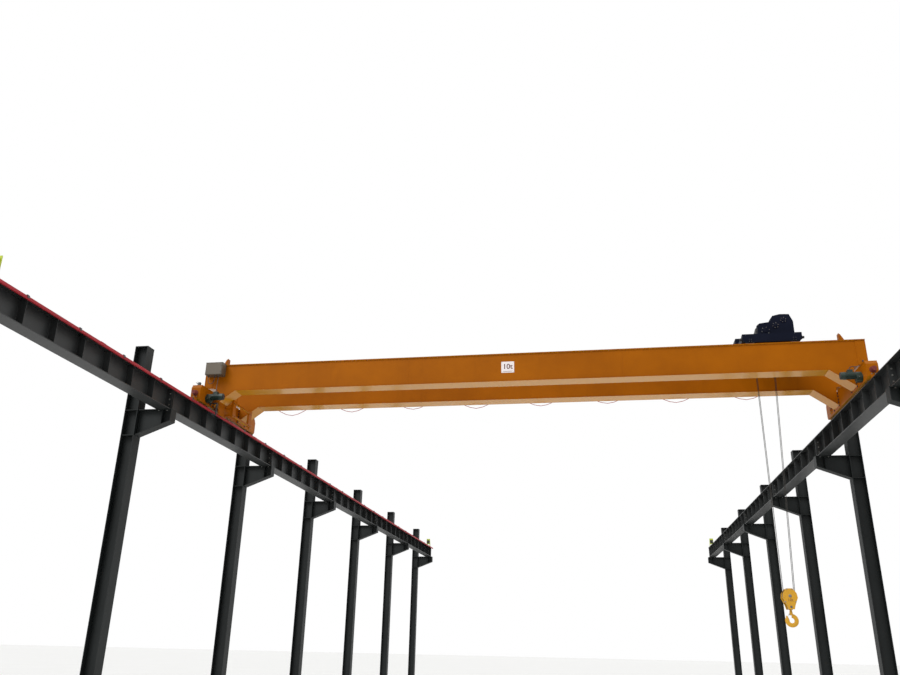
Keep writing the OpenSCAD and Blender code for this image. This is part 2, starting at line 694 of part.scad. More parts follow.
module hoist_motor() color(hoist_blue)
    translate([drum_x + 450, box_y + 150, side_z1 + 440]) rotate([-90, 0, 0]) {
    cylinder(h = 30, d = 300);
    translate([0, 0, 30]) cylinder(h = 470, d = 250);
    for (k = [0:14]) translate([0, 0, 60 + k * 28]) cylinder(h = 10, d = 286);
    translate([0, 0, 490]) cylinder(h = 150, d1 = 290, d2 = 270);
    translate([-70, 110, 170]) cube([140, 75, 160]);
}

// upper sheaves that return the falls, and their pin
module sheave(d, w) rotate_extrude($fn = 72) polygon([[18, -w / 2], [44, -w / 2], [48, -w / 4],
    [d / 2 - 34, -w / 4], [d / 2 - 26, -w / 2], [d / 2, -w / 2], [d / 2, -w / 2 + 4], [d / 2 - 18, -5],
    [d / 2 - 22, 0], [d / 2 - 18, 5], [d / 2, w / 2 - 4], [d / 2, w / 2], [d / 2 - 26, w / 2],
    [d / 2 - 34, w / 4], [48, w / 4], [44, w / 2], [18, w / 2]]);

module upper_sheaves() color(steel_grey) {
    x = fall_x;
    z = upper_z;
    for (s = [-1, 1]) translate([x - 95, bridge_y + s * fall_dy, z]) rotate([90, 0, 0]) sheave(220, 44);
    rod_y(bridge_y - 150, bridge_y + 150, x - 95, z, 36);
    for (y = [bridge_y - 140, bridge_y + 128]) along_y(y, y + 12)
        polygon([[x - 150, z - 40], [x - 50, z - 40], [x - 20, side_z1 - 60], [x - 60, side_z1 - 60],
                 [x - 150, z + 40]]);
}

module trolley_motor() color(motor_green) translate([trolley_x - t_len / 2 + 180, near_y + 70, t_axle_z])
    rotate([-90, 0, 0]) {
        cylinder(h = 14, d = 150);
        translate([-60, -110, 12]) cube([120, 170, 90]);
        translate([0, 0, 100]) cylinder(h = 150, d = 118);
        for (k = [0:5]) translate([0, 0, 112 + k * 20]) cylinder(h = 8, d = 136);
        translate([0, 0, 240]) cylinder(h = 60, d = 134);
    }

module hoist_electrics() color(hoist_blue) translate([trolley_x - t_len / 2 + 30, far_y - 560, side_z1]) {
    cube([250, 500, 300]);
    translate([-8, 15, 15]) cube([10, 470, 270]);
}

module towing_arm() color(steel_dark) {
    y0 = far_y + 70;
    y1 = festoon_y + 110;
    z = side_z0 + 100;
    for (s = [-1, 1]) {
        translate([tow_x + s * 24 - 8, y0, z]) cube([16, y1 - y0, 30]);
        translate([tow_x + s * 24 - 8, y1 - 16, festoon_z - 60]) cube([16, 16, z - festoon_z + 62]);
    }
    translate([tow_x - 60, y0, z - 20]) cube([120, 10, 70]);
    translate([tow_x - 32, y1 - 16, z]) cube([64, 16, 30]);
}

// four falls of rope from the trolley to the hook block
module rope(top, low) {
    d = top - low;
    length = norm(d);
    translate(low) rotate([0, atan2(d[0], d[2]), 0]) cylinder(h = length, d = rope_d, $fn = 16);
}

module ropes() color([0.2, 0.2, 0.2]) for (s = [-1, 1]) {
    y = bridge_y + s * fall_dy;
    rope([lift_x, y, drum_z], [sheave_x - sheave_d / 2 + 12, y, block_z]);
    rope([fall_x, y, upper_z], [sheave_x + sheave_d / 2 - 12, y, block_z]);
}

// Hook block

module block_cheeks() color([0.8, 0.62, 0.08]) {
    for (y = [bridge_y - 118, bridge_y + 102]) along_y(y, y + 16) translate([sheave_x, block_z])
        difference() {
            polygon([[-70, 165], [70, 165], [150, 60], [165, -40], [100, -190], [70, -290],
                     [-70, -290], [-100, -190], [-165, -40], [-150, 60]]);
            circle(d = 40.1);
            translate([0, -240]) circle(d = 50.1);
        }
    along_y(bridge_y - 8, bridge_y + 8) translate([sheave_x, block_z]) difference() {
        polygon([[-60, 165], [60, 165], [60, -120], [-60, -120]]);
        circle(d = 40.1);
    }
    // top and side spacers that tie the plates
    for (x = [-58, 58]) rod_y(bridge_y - 110, bridge_y + 110, sheave_x + x, block_z + 148, 26);
    for (x = [-112, 112]) rod_y(bridge_y - 110, bridge_y + 110, sheave_x + x, block_z - 128, 26);
}

module block_sheaves() color(steel_grey) {
    for (s = [-1, 1])
        translate([sheave_x, bridge_y + s * fall_dy, block_z]) rotate([90, 0, 0]) sheave(sheave_d, 44);
    rod_y(bridge_y - 128, bridge_y + 128, sheave_x, block_z, 40);
}

module crosshead() color(steel_grey) translate([sheave_x, bridge_y, block_z - 240]) difference() {
    union() {
        rotate([90, 0, 0]) cylinder(h = 250, d = 50, center = true);
        translate([0, 0, -40]) cylinder(h = 80, d = 130);
        rotate([90, 0, 0]) cylinder(h = 190, d = 76, center = true);
    }
    translate([0, 0, -60]) cylinder(h = 120, d = 56.1);
}

// forged single hook: shank, bowl swept about the load line, and its tapering tip
module hook() color([0.8, 0.62, 0.08]) translate([sheave_x, bridge_y, block_z - 240]) {
    rotate_extrude() polygon([[0, -176], [34, -176], [38, -166], [38, -140], [28, -80], [28, 20],
                              [25, 24], [25, 76], [22, 80], [0, 80]]);
    translate([0, 0, 40.3]) cylinder(h = 30, d = 96, $fn = 6);
    translate([0, 0, bowl_z]) rotate([90, 0, 0]) {
        rotate([0, 0, tip_a]) rotate_extrude(angle = 285, $fn = 96) translate([bowl_r, 0])
            polygon([[-42, -26], [-30, -36], [10, -32], [40, -18], [48, 0], [40, 18], [10, 32],
                     [-30, 36], [-42, 26]]);
        translate([bowl_r * cos(tip_a), bowl_r * sin(tip_a), 0]) rotate([-90, 0, 8]) {
            rotate_extrude() polygon([[0, -12], [33, -12], [34, 0], [27, 30], [19, 55], [11, 70], [0, 75]]);
        }
    }
}

left_columns();
right_columns();
base_plates();
left_corbels();
right_corbels();
left_runway_beam();
right_runway_beam();
beam_ties();
left_rail();
right_rail();
end_stops();
conductor_bar();
conductor_brackets();
near_girder();
far_girder();
left_end_carriage();
right_end_carriage();
bridge_wheels();
buffers();
left_gear_motor();
right_gear_motor();
trolley_rails();
trolley_stops();
control_cabinet();
capacity_plate();
current_collector();
collector_frame();
festoon_rail();
festoon_end_clamp();
trolley_frame();
trolley_wheels();
trolley_buffers();
rope_drum();
drum_bearing();
hoist_gearbox();
hoist_motor();
upper_sheaves();
trolley_motor();
hoist_electrics();
towing_arm();
ropes();
block_cheeks();
block_sheaves();
crosshead();
hook();
festoon_carrier_1();
festoon_carrier_2();
festoon_carrier_3();
festoon_carrier_4();
festoon_carrier_5();
festoon_carrier_6();
festoon_carrier_7();
festoon_tow_carrier();
festoon_cables();
motor_cables();
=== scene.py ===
import math

import bmesh
import bpy
from mathutils import Matrix, Vector


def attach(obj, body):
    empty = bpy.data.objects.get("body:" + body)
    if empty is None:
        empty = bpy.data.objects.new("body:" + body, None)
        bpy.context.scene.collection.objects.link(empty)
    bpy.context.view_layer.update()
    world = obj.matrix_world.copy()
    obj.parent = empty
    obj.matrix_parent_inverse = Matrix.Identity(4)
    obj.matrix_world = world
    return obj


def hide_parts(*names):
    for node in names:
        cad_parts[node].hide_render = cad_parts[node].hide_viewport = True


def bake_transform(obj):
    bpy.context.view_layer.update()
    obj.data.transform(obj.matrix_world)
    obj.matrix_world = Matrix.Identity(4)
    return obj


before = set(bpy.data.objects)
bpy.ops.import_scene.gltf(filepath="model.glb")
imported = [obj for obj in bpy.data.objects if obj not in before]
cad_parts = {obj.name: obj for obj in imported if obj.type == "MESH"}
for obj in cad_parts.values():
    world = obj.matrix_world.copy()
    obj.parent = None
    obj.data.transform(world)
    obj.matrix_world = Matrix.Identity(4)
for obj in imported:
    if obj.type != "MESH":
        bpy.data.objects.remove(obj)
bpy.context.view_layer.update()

# The eye stands on the shop floor, 20 m before the bridge and a little right of its middle,
# and looks up at it with a wide lens held slightly crooked.
eye = Vector((1.99, -30.26, 1.65))
pitch, yaw, roll = math.radians(21.144), math.radians(10.557), math.radians(1.293)
ahead = Vector((-math.sin(yaw) * math.cos(pitch), math.cos(yaw) * math.cos(pitch), math.sin(pitch)))
level = Vector((math.cos(yaw), math.sin(yaw), 0.0))
above = level.cross(ahead)
to_right = level * math.cos(roll) + above * math.sin(roll)
to_top = above * math.cos(roll) - level * math.sin(roll)
lens = bpy.data.cameras.new("viewpoint")
lens.sensor_fit, lens.sensor_width, lens.lens = "HORIZONTAL", 36.0, 36.0 * 811.75 / 900
lens.clip_start, lens.clip_end = 0.1, 2000.0
camera = bpy.data.objects.new("viewpoint", lens)
bpy.context.scene.collection.objects.link(camera)
camera.matrix_world = Matrix.Translation(eye) @ Matrix((to_right, to_top, -ahead)).transposed().to_4x4()
bpy.context.scene.camera = camera
bpy.context.scene.view_settings.view_transform = "Standard"


# Cable sheaths: red rubber on the trolley's festoon, near-black on the motor leads.
# Sheath is extruded in one colour, dulled by dust, with a faint wander of shade along it.
class Shade:
    """A shader socket. A sum of them adds its Math nodes to the material's tree."""

    def __init__(self, tree, socket=None):
        self.tree, self.socket = tree, socket

    def node(self, kind, settings=(), inputs=(), out=0):
        made = self.tree.nodes.new("ShaderNode" + kind)
        for name, value in dict(settings).items():
            if name == "stops":
                ramp = made.color_ramp
                ramp.elements.remove(ramp.elements[1])
                for i, (place, colour) in enumerate(value):
                    stop = ramp.elements[0] if i == 0 else ramp.elements.new(place)
                    stop.position, stop.color = place, colour
            else:
                setattr(made, name, value)
        for name, value in dict(inputs).items():
            if isinstance(value, Shade):
                self.tree.links.new(value.socket, made.inputs[name])
            else:
                made.inputs[name].default_value = value
        return Shade(self.tree, made.outputs[out] if made.outputs else None)

    def maths(self, operation, *values):
        return self.node("Math", {"operation": operation}, dict(enumerate(values)))

    def __add__(self, other):
        return self.maths("ADD", self, other)

    def __mul__(self, other):
        return self.maths("MULTIPLY", self, other)

    def __sub__(self, other):
        return self.maths("SUBTRACT", self, other)

    def __rsub__(self, other):
        return self.maths("SUBTRACT", other, self)

    def __gt__(self, other):
        return self.maths("GREATER_THAN", self, other)

    __radd__, __rmul__ = __add__, __mul__


def srgb(red, green, blue):
    """A colour as a paint chart gives it, turned linear for the shader."""
    return tuple((v / 255 / 12.92) if v <= 10 else ((v / 255 + 0.055) / 1.055) ** 2.4
                 for v in (red, green, blue)) + (1.0,)


def new_material(name):
    material = bpy.data.materials.new(name)
    material.use_nodes = True
    material.node_tree.nodes.clear()
    shade = Shade(material.node_tree)
    return material, shade, shade.node("TexCoord", out="Object")


def blended(shade, amount, first, second):
    return shade.node("Mix", {"data_type": "RGBA", "clamp_factor": True},
                      {0: amount, 6: first, 7: second}, out=2)


def noise(place, scale, detail=2.0, roughness=0.5):
    return place.node("TexNoise", {}, {"Vector": place, "Scale": scale, "Detail": detail,
                                       "Roughness": roughness})


def finished(shade, colour, roughness, height, depth, **constants):
    """Ends a material: its bump and the surface shader."""
    bump = shade.node("Bump", {}, {"Strength": 0.5, "Distance": depth, "Height": height})
    sockets = {"Base Color": colour, "Roughness": roughness, "Normal": bump}
    sockets.update({name.replace("_", " "): value for name, value in constants.items()})
    surface = shade.node("BsdfPrincipled", {}, sockets)
    shade.node("OutputMaterial", {}, {"Surface": surface})


def sheath(name, colour):
    material, shade, place = new_material(name)
    wander = noise(place, 3.0, 4.0)
    grime = noise(place, 60.0, 3.0)
    dusty = tuple(0.7 * c + 0.12 for c in colour[:3]) + (1.0,)
    tone = blended(shade, (wander * 1.6 - 0.45) * 0.8, colour, dusty)
    finished(shade, tone, 0.5 + grime * 0.25, grime, 0.001)
    return material


def rounded(points, steps):
    """Points along a smooth curve through the given ones."""
    knots = [Vector(p) for p in points]
    knots = [2 * knots[0] - knots[1]] + knots + [2 * knots[-1] - knots[-2]]
    curve = []
    for a, b, c, d in zip(knots, knots[1:], knots[2:], knots[3:]):
        for i in range(steps):
            t = i / steps
            curve.append(0.5 * (2 * b + (c - a) * t + (2 * a - 5 * b + 4 * c - d) * t * t
                                + (3 * b - a - 3 * c + d) * t ** 3))
    return curve + [knots[-2]]


def tube(name, points, diameter, material, sides=4):
    """A round cable or pipe along its points, as a mesh with closed ends."""
    curve = bpy.data.curves.new(name, "CURVE")
    curve.dimensions, curve.bevel_depth = "3D", diameter / 2
    curve.bevel_resolution, curve.use_fill_caps = sides, True
    line = curve.splines.new("POLY")
    line.points.add(len(points) - 1)
    for knot, point in zip(line.points, points):
        knot.co = (*point, 1.0)
    drawn = bpy.data.objects.new(name + "_line", curve)
    mesh = bpy.data.meshes.new_from_object(drawn)
    bpy.data.objects.remove(drawn)
    mesh.name = name
    mesh.materials.clear()
    mesh.materials.append(material)
    mesh.polygons.foreach_set("use_smooth", [True] * len(mesh.polygons))
    made = bpy.data.objects.new(name, mesh)
    bpy.context.scene.collection.objects.link(made)
    return made


def length_of(points):
    return sum((b - a).length for a, b in zip(points, points[1:]))


cable_d = 0.016
clamp_x, tow_x, loops = -7.6, 6.89, 8
festoon_y, cable_z = -8.54, 8.58
pitch_x = (tow_x - clamp_x) / loops
half_loop = [(0.0, 0.0), (0.035, 0.0), (0.07, -0.003), (0.26, -0.27), (0.9056, -0.555)]
loop_depth = [1.1, 1.0, 0.95, 1.0, 0.97, 0.94, 1.0, 0.96]
festoon_red = sheath("festoon_sheath", srgb(190, 62, 66))
carriers = ["bridge"] + [f"festoon_carrier_{k}" for k in range(1, 8)] + ["festoon_tow_carrier"]
for k, depth in enumerate(loop_depth):
    x0 = clamp_x + k * pitch_x
    left = [Vector((x0 + x, festoon_y, cable_z + z * depth)) for x, z in half_loop]
    right = [Vector((2 * x0 + pitch_x - p.x, p.y, p.z)) for p in reversed(left[:-1])]
    path = rounded(left + right, 4)
    loop = tube(f"festoon_loop_{k + 1}", path, cable_d, festoon_red)
    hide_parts("festoon_cables")
    length_of(path)
    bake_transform(loop)

motor_dark = sheath("motor_cable_sheath", srgb(34, 20, 20))
motor_routes = {
    "cabinet_loop": [(-8.29, -10.8, 8.4996), (-8.29, -10.8, 8.43), (-8.28, -10.802, 8.34),
                     (-8.235, -10.806, 8.275), (-8.165, -10.806, 8.275), (-8.115, -10.802, 8.34),
                     (-8.105, -10.8, 8.43), (-8.105, -10.8, 8.4996)],
    "left_motor_cable": [(-8.0, -10.8, 8.4996), (-8.0, -10.8, 8.44), (-7.985, -10.83, 8.33),
                         (-7.96, -10.89, 8.22), (-7.92, -10.97, 8.13), (-7.89, -11.03, 8.06),
                         (-7.875, -11.04, 7.995), (-7.875, -11.04, 7.9436)],
    "right_motor_cable": [(8.33, -10.6404, 8.3), (8.33, -10.67, 8.3), (8.3, -10.74, 8.24),
                          (8.2, -10.86, 8.13), (8.06, -10.96, 8.06), (7.94, -11.02, 8.04),
                          (7.88, -11.04, 8.0), (7.875, -11.04, 7.9436)]}
for name, route in motor_routes.items():
    path = rounded(route, 3)
    lead = tube(name, path, cable_d, motor_dark)
    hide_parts("motor_cables")
    length_of(path)
    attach(lead, "bridge")

# The studio: a pale level floor far past the runway, a white surround seen by eye and by gloss,
# an even sky, and one wide soft sun from the front left with a weak one opposite.
floor_paint, shade, place = new_material("studio_floor")
mottle = noise(place, 0.3)
finished(shade, blended(shade, mottle, srgb(232, 232, 230), srgb(238, 238, 237)), 0.9, mottle, 0.001)
bm = bmesh.new()
bmesh.ops.create_grid(bm, x_segments=8, y_segments=8, size=400.0,
                      matrix=Matrix.Translation((0, 0, -0.002)))
ground = bpy.data.meshes.new("studio_floor")
bm.to_mesh(ground)
bm.free()
ground.materials.append(floor_paint)
ground_plane = bpy.data.objects.new("studio_floor", ground)
bpy.context.scene.collection.objects.link(ground_plane)

world = bpy.data.worlds.new("studio")
bpy.context.scene.world = world
world.use_nodes = True
world.node_tree.nodes.clear()
shade = Shade(world.node_tree)
seen = shade.node("LightPath", out="Is Camera Ray")
gloss = shade.node("LightPath", out="Is Glossy Ray")
through = shade.node("LightPath", out="Is Transmission Ray")
direct = shade.maths("MINIMUM", seen + gloss + through, 1.0)
sky = shade.node("Background", {}, {"Color": (1.0, 1.0, 1.0, 1.0), "Strength": 0.55 + 0.45 * direct})
shade.node("OutputWorld", {}, {"Surface": sky})

for name, strength, angle, aim in (("key_sun", 1.9, 35.0, (0.45, 0.75, -0.85)),
                                   ("fill_sun", 0.6, 60.0, (-0.8, -0.3, -0.5))):
    lamp = bpy.data.lights.new(name, "SUN")
    lamp.energy, lamp.angle = strength, math.radians(angle)
    sun = bpy.data.objects.new(name, lamp)
    sun.rotation_euler = Vector(aim).to_track_quat("-Z", "Y").to_euler()
    bpy.context.scene.collection.objects.link(sun)


# Columns: rolled wide-flange sections standing on grouted base plates, each held down by four
# anchor bolts with washer and two nuts; plates welded all round, then sprayed dark grey.
def enamel(name, colour, rough=0.45, patch=0.12, dust=0.35, streak=0.25, chip=0.0, coat=0.0,
           under=(70, 62, 55), specular=0.5):
    """Sprayed enamel over plate: soft patches, streaks down the sides, dust on top, chipped spots."""
    material, shade, place = new_material(name)
    broad = noise(place, 0.7, 4.0, 0.6)
    peel = noise(place, 38.0, 2.0)
    stretched = shade.node("Mapping", {}, {"Vector": place, "Scale": (5.0, 5.0, 0.5)})
    run = noise(stretched, 1.6, 5.0, 0.65)
    spots = noise(place, 9.0, 7.0, 0.7)
    upward = shade.node("SeparateXYZ", {}, {0: shade.node("NewGeometry", out="Normal")}, out="Z")
    base = srgb(*colour)
    darker = tuple(c * (1 - 2.2 * patch) for c in base[:3]) + (1.0,)
    lighter = tuple(min(1.0, c * (1 + 1.6 * patch) + 0.004) for c in base[:3]) + (1.0,)
    tone = blended(shade, broad * 2.4 - 0.7, darker, lighter)
    soot = tuple(c * 0.45 for c in base[:3]) + (1.0,)
    tone = blended(shade, (run * 3.0 - 1.65) * streak, tone, soot)
    chipped = (spots > 1.0 - 0.5 * chip) if chip else None
    if chip:
        tone = blended(shade, chipped, tone, srgb(*under))
    settled = shade.maths("MAXIMUM", upward * 1.6 - 0.6, 0.0) * (0.35 + spots * 0.9) * dust
    tone = blended(shade, settled, tone, srgb(150, 143, 132))
    gloss = rough + (peel - 0.5) * 0.12 + settled * 0.4 + broad * 0.08
    height = peel * 0.25 + spots * 0.1 if not chip else peel * 0.25 - chipped * 0.6
    finished(shade, tone, gloss, height, 0.0012, Coat_Weight=coat, Coat_Roughness=0.18,
             Specular_IOR_Level=specular)
    return material


def dress(material, *nodes):
    """Gives CAD nodes their finish."""
    for node in nodes:
        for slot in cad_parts[node].material_slots:
            slot.material = material


def turned(bm, start, direction, profile, sides=24):
    """A turned shape: its profile of (distance along the axis, radius) spun round the axis."""
    start, axis = Vector(start), Vector(direction).normalized()
    across = axis.orthogonal().normalized()
    part = bmesh.new()
    chain = [part.verts.new(start + axis * d + across * r) for d, r in profile]
    edges = [part.edges.new(pair) for pair in zip(chain, chain[1:])]
    bmesh.ops.spin(part, geom=chain + edges, cent=start, axis=axis, dvec=(0, 0, 0),
                   angle=2 * math.pi, steps=sides, use_merge=True, use_duplicate=False)
    bmesh.ops.remove_doubles(part, verts=part.verts, dist=1e-6)
    bmesh.ops.recalc_face_normals(part, faces=part.faces)
    gather(bm, part)
    part.free()


def gather(bm, part, places=(Matrix.Identity(4),)):
    """Adds a finished shape to a mesh, once for each place."""
    for place in places:
        scratch = bpy.data.meshes.new("scratch")
        part.to_mesh(scratch)
        scratch.transform(place)
        bm.from_mesh(scratch)
        bpy.data.meshes.remove(scratch)


def block(bm, low, high, ease=0.002):
    """A bar between two corners with eased edges."""
    low, high = Vector(low), Vector(high)
    part = bmesh.new()
    size = Matrix.Diagonal((*(high - low), 1.0))
    bmesh.ops.create_cube(part, size=1.0, matrix=Matrix.Translation((low + high) / 2) @ size)
    bmesh.ops.bevel(part, geom=part.edges[:], offset=ease, segments=1, affect="EDGES",
                    profile=0.5, material=-1)
    gather(bm, part)
    part.free()


def rod(bm, start, end, radius, sides=16):
    """A round bar between two points, its ends eased."""
    reach = (Vector(end) - Vector(start)).length
    ease = min(radius * 0.2, reach * 0.2)
    turned(bm, start, Vector(end) - Vector(start),
           [(0, 0), (0, radius - ease), (ease, radius), (reach - ease, radius),
            (reach, radius - ease), (reach, 0)], sides)


def bead(bm, start, end, radius=0.006):
    """A run of weld along a joint."""
    rod(bm, start, end, radius, 6)


def facing(point, direction):
    """Puts a shape made on +Z at a point, turned to a direction."""
    return Matrix.Translation(point) @ Vector(direction).to_track_quat("Z", "Y").to_matrix().to_4x4()


def hex_bolt(size, grip=None):
    """A washer and six-sided head on +Z; with a grip, also the shank and the nut below it."""
    part = bmesh.new()
    turned(part, (0, 0, 0), (0, 0, 1), [(0, 0), (0, size), (0.15 * size, size), (0.15 * size, 0)], 12)
    turned(part, (0, 0, 0.15 * size), (0, 0, 1), [(0, 0), (0, 0.86 * size), (0.5 * size, 0.86 * size),
                                                  (0.62 * size, 0.7 * size), (0.62 * size, 0)], 6)
    if grip:
        rod(part, (0, 0, 0), (0, 0, -grip - size), size / 2, 8)
        turned(part, (0, 0, -grip - 0.8 * size), (0, 0, 1),
               [(0, 0), (0, 0.72 * size), (0.12 * size, 0.86 * size), (0.8 * size, 0.86 * size),
                (0.8 * size, 0)], 6)
    return part


def piece(name, bm, material, body):
    """Makes a finished mesh into a piece that moves with a body, where one is named."""
    mesh = bpy.data.meshes.new(name)
    bm.to_mesh(mesh)
    bm.free()
    mesh.materials.append(material)
    mesh.polygons.foreach_set("use_smooth", [True] * len(mesh.polygons))
    mesh.set_sharp_from_angle(angle=math.radians(32))
    made = bpy.data.objects.new(name, mesh)
    bpy.context.scene.collection.objects.link(made)
    if body:
        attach(made, body)
    return made


def bare_metal(name, colour, rough=0.4, metallic=0.85, rust=0.2, grain=(40.0, 40.0, 40.0)):
    """Bare or zinc-plated steel: rolled grain, dull patches and a little rust."""
    material, shade, place = new_material(name)
    drawn = shade.node("Mapping", {}, {"Vector": place, "Scale": grain})
    scratch = noise(drawn, 1.0, 4.0)
    cloud = noise(place, 2.3, 6.0, 0.7)
    base = srgb(*colour)
    dull = tuple(c * 0.55 for c in base[:3]) + (1.0,)
    tone = blended(shade, scratch * 0.7 + cloud * 0.5 - 0.2, base, dull)
    rusty = shade.maths("MAXIMUM", cloud * 5.0 - 2.9 + rust, 0.0) * rust
    tone = blended(shade, rusty, tone, srgb(96, 52, 30))
    finished(shade, tone, rough + scratch * 0.2 + rusty * 0.4, scratch + cloud, 0.0008,
             Metallic=metallic)
    return material


rail_x, column_x = 8.25, 9.05
lines_y = [-19.2 + 6.4 * i for i in range(7)]
sides_x = (-1, 1)
column_grey = enamel("column_enamel", (23, 27, 27), rough=0.5, patch=0.12, dust=0.3, streak=0.35, chip=0.25,
                     under=(84, 54, 38), specular=0.22)
dress(column_grey, "left_columns", "right_columns", "base_plates", "left_corbels", "right_corbels")
zinc = bare_metal("bolt_zinc", (150, 150, 146), rough=0.35, rust=0.5)

anchor = bmesh.new()
block(anchor, (-0.028, -0.028, 0.0), (0.028, 0.028, 0.008), 0.001)
for low, high in ((0.008, 0.032), (0.033, 0.048)):
    turned(anchor, (0, 0, low), (0, 0, 1), [(0, 0), (0, 0.024), (0.002, 0.0265),
                                            (high - low - 0.002, 0.0265), (high - low, 0.024), (high - low, 0)], 6)
rod(anchor, (0, 0, -0.022), (0, 0, 0.09), 0.014, 12)
for k in range(9):
    turned(anchor, (0, 0, 0.05 + k * 0.004), (0, 0, 1), [(0, 0.0135), (0.0015, 0.0152), (0.003, 0.0135)], 12)
bm = bmesh.new()
gather(bm, anchor, [Matrix.Translation((s * column_x + a * 0.21, y + b * 0.185, 0.025))
                    for s in sides_x for y in lines_y for a in (-1, 1) for b in (-1, 1)])
piece("anchor_bolts", bm, zinc, "runway")

bm = bmesh.new()
for s in sides_x:
    for y in lines_y:
        for f in (-0.17, 0.17):
            x = s * column_x + f
            bead(bm, (x, y - 0.15, 0.026), (x, y + 0.15, 0.026), 0.008)
        for w in (-0.0055, 0.0055):
            bead(bm, (s * column_x - 0.15, y + w, 0.026), (s * column_x + 0.15, y + w, 0.026), 0.008)
        for z in (6.335, 6.955):
            face = s * 8.88
            bead(bm, (face, y - 0.12, z), (face, y + 0.12, z), 0.007)
        for w in (-0.007, 0.007):
            bead(bm, (s * 8.88, y + w, 6.35), (s * 8.88, y + w, 6.93), 0.006)
            bead(bm, (s * 8.03, y + w, 6.938), (s * 8.87, y + w, 6.938), 0.006)
piece("column_welds", bm, column_grey, "runway")

# Runway beams: plate girders, one length a bay, bolted down on the corbels and to each other
# through their end stiffeners, and tied back to the columns at the top flange.
beam_grey = enamel("beam_enamel", (42, 44, 44), rough=0.42, patch=0.14, dust=0.5, streak=0.3, chip=0.2,
                   under=(92, 60, 42), specular=0.3)
dress(beam_grey, "left_runway_beam", "right_runway_beam")
tie_grey = enamel("tie_primer", (96, 98, 98), rough=0.55, patch=0.1, dust=0.4, chip=0.4)
dress(tie_grey, "beam_ties")
bm = bmesh.new()
seat_bolt, splice_bolt, tie_bolt = hex_bolt(0.02, 0.038), hex_bolt(0.02, 0.07), hex_bolt(0.02, 0.03)
gather(bm, seat_bolt, [facing((s * rail_x + a, y + b, 6.978), (0, 0, 1))
                       for s in sides_x for y in lines_y for a in (-0.11, 0.11) for b in (-0.08, 0.08)])
gather(bm, splice_bolt, [facing((s * rail_x + a, y - 0.035, z), (0, -1, 0))
                         for s in sides_x for y in lines_y[1:-1] for a in (-0.1, 0.1)
                         for z in (7.08, 7.22, 7.36)])
gather(bm, tie_bolt, [facing((s * (rail_x + 0.145), y + b, 7.512), (0, 0, 1))
                      for s in sides_x for y in lines_y for b in (-0.06, 0.06)])
piece("beam_bolts", bm, zinc, "runway")
bm = bmesh.new()
for s in sides_x:
    for i, y in enumerate(lines_y[:-1]):
        y0, y1 = y + 0.012, y + 6.388
        for w in (-0.005, 0.005):
            for z in (6.979, 7.481):
                bead(bm, (s * rail_x + w, y0, z), (s * rail_x + w, y1, z), 0.005)
        for k in range(8):
            at = y + k * 6.4 / 7 + (0.03 if k == 0 else -0.03 if k == 7 else 0)
            for side in (-1, 1):
                x = s * rail_x + side * 0.006
                for w in (-0.005, 0.005):
                    bead(bm, (x, at + w, 6.99), (x, at + w, 7.47), 0.004)
piece("beam_welds", bm, beam_grey, "runway")

# Crane rails: rolled rail laid on the beams in long lengths, gripped by bolted clips every
# 0.8 m on both sides, with fishplates at the joints and a band worn bright by the wheels.
rail_steel, shade, place = new_material("rail_steel")
drawn = shade.node("Mapping", {}, {"Vector": place, "Scale": (60.0, 1.5, 60.0)})
grain = noise(drawn, 1.0, 4.0)
cloud = noise(place, 5.0, 6.0, 0.7)
height = shade.node("SeparateXYZ", {}, {0: place}, out="Z")
tread = shade.maths("MINIMUM", (height > 7.5565) * (1 - (height > 8.0)) + (height > 8.8865), 1.0)
sides_tone = blended(shade, cloud * 2.2 - 0.6, srgb(92, 80, 72), srgb(122, 96, 78))
tone = blended(shade, tread, sides_tone, blended(shade, grain, srgb(165, 165, 165), srgb(118, 117, 115)))
finished(shade, tone, 0.62 - tread * 0.34 + grain * 0.12, grain + cloud, 0.0008, Metallic=0.65)
dress(rail_steel, "left_rail", "right_rail", "trolley_rails")
clip = bmesh.new()
block(clip, (0.062, -0.03, 0.0), (0.112, 0.03, 0.012), 0.0015)
block(clip, (0.044, -0.026, 0.0125), (0.11, 0.026, 0.024), 0.003)
gather(clip, hex_bolt(0.016), [Matrix.Translation((0.09, 0, 0.024))])
bm = bmesh.new()
turned_over = Matrix.Rotation(math.pi, 4, "Z")
clip_ys = [-19.0 + 0.8 * k for k in range(48)]
gather(bm, clip, [Matrix.Translation((s * rail_x, y, 7.5)) @ turn for s in sides_x for y in clip_ys
                  for turn in (Matrix.Identity(4), turned_over)])
piece("rail_clips", bm, tie_grey, "runway")
bm = bmesh.new()
for s in sides_x:
    for y in (-9.0, 3.0, 15.0):
        for side in (-1, 1):
            x = s * rail_x + side * 0.018
            low, high = sorted((x, x + side * 0.01))
            block(bm, (low, y - 0.2, 7.526), (high, y + 0.2, 7.533), 0.001)
            gather(bm, hex_bolt(0.014), [facing((x + side * 0.01, y + d, 7.5295), (side, 0, 0))
                                         for d in (-0.14, -0.05, 0.05, 0.14)])
piece("rail_fishplates", bm, zinc, "runway")

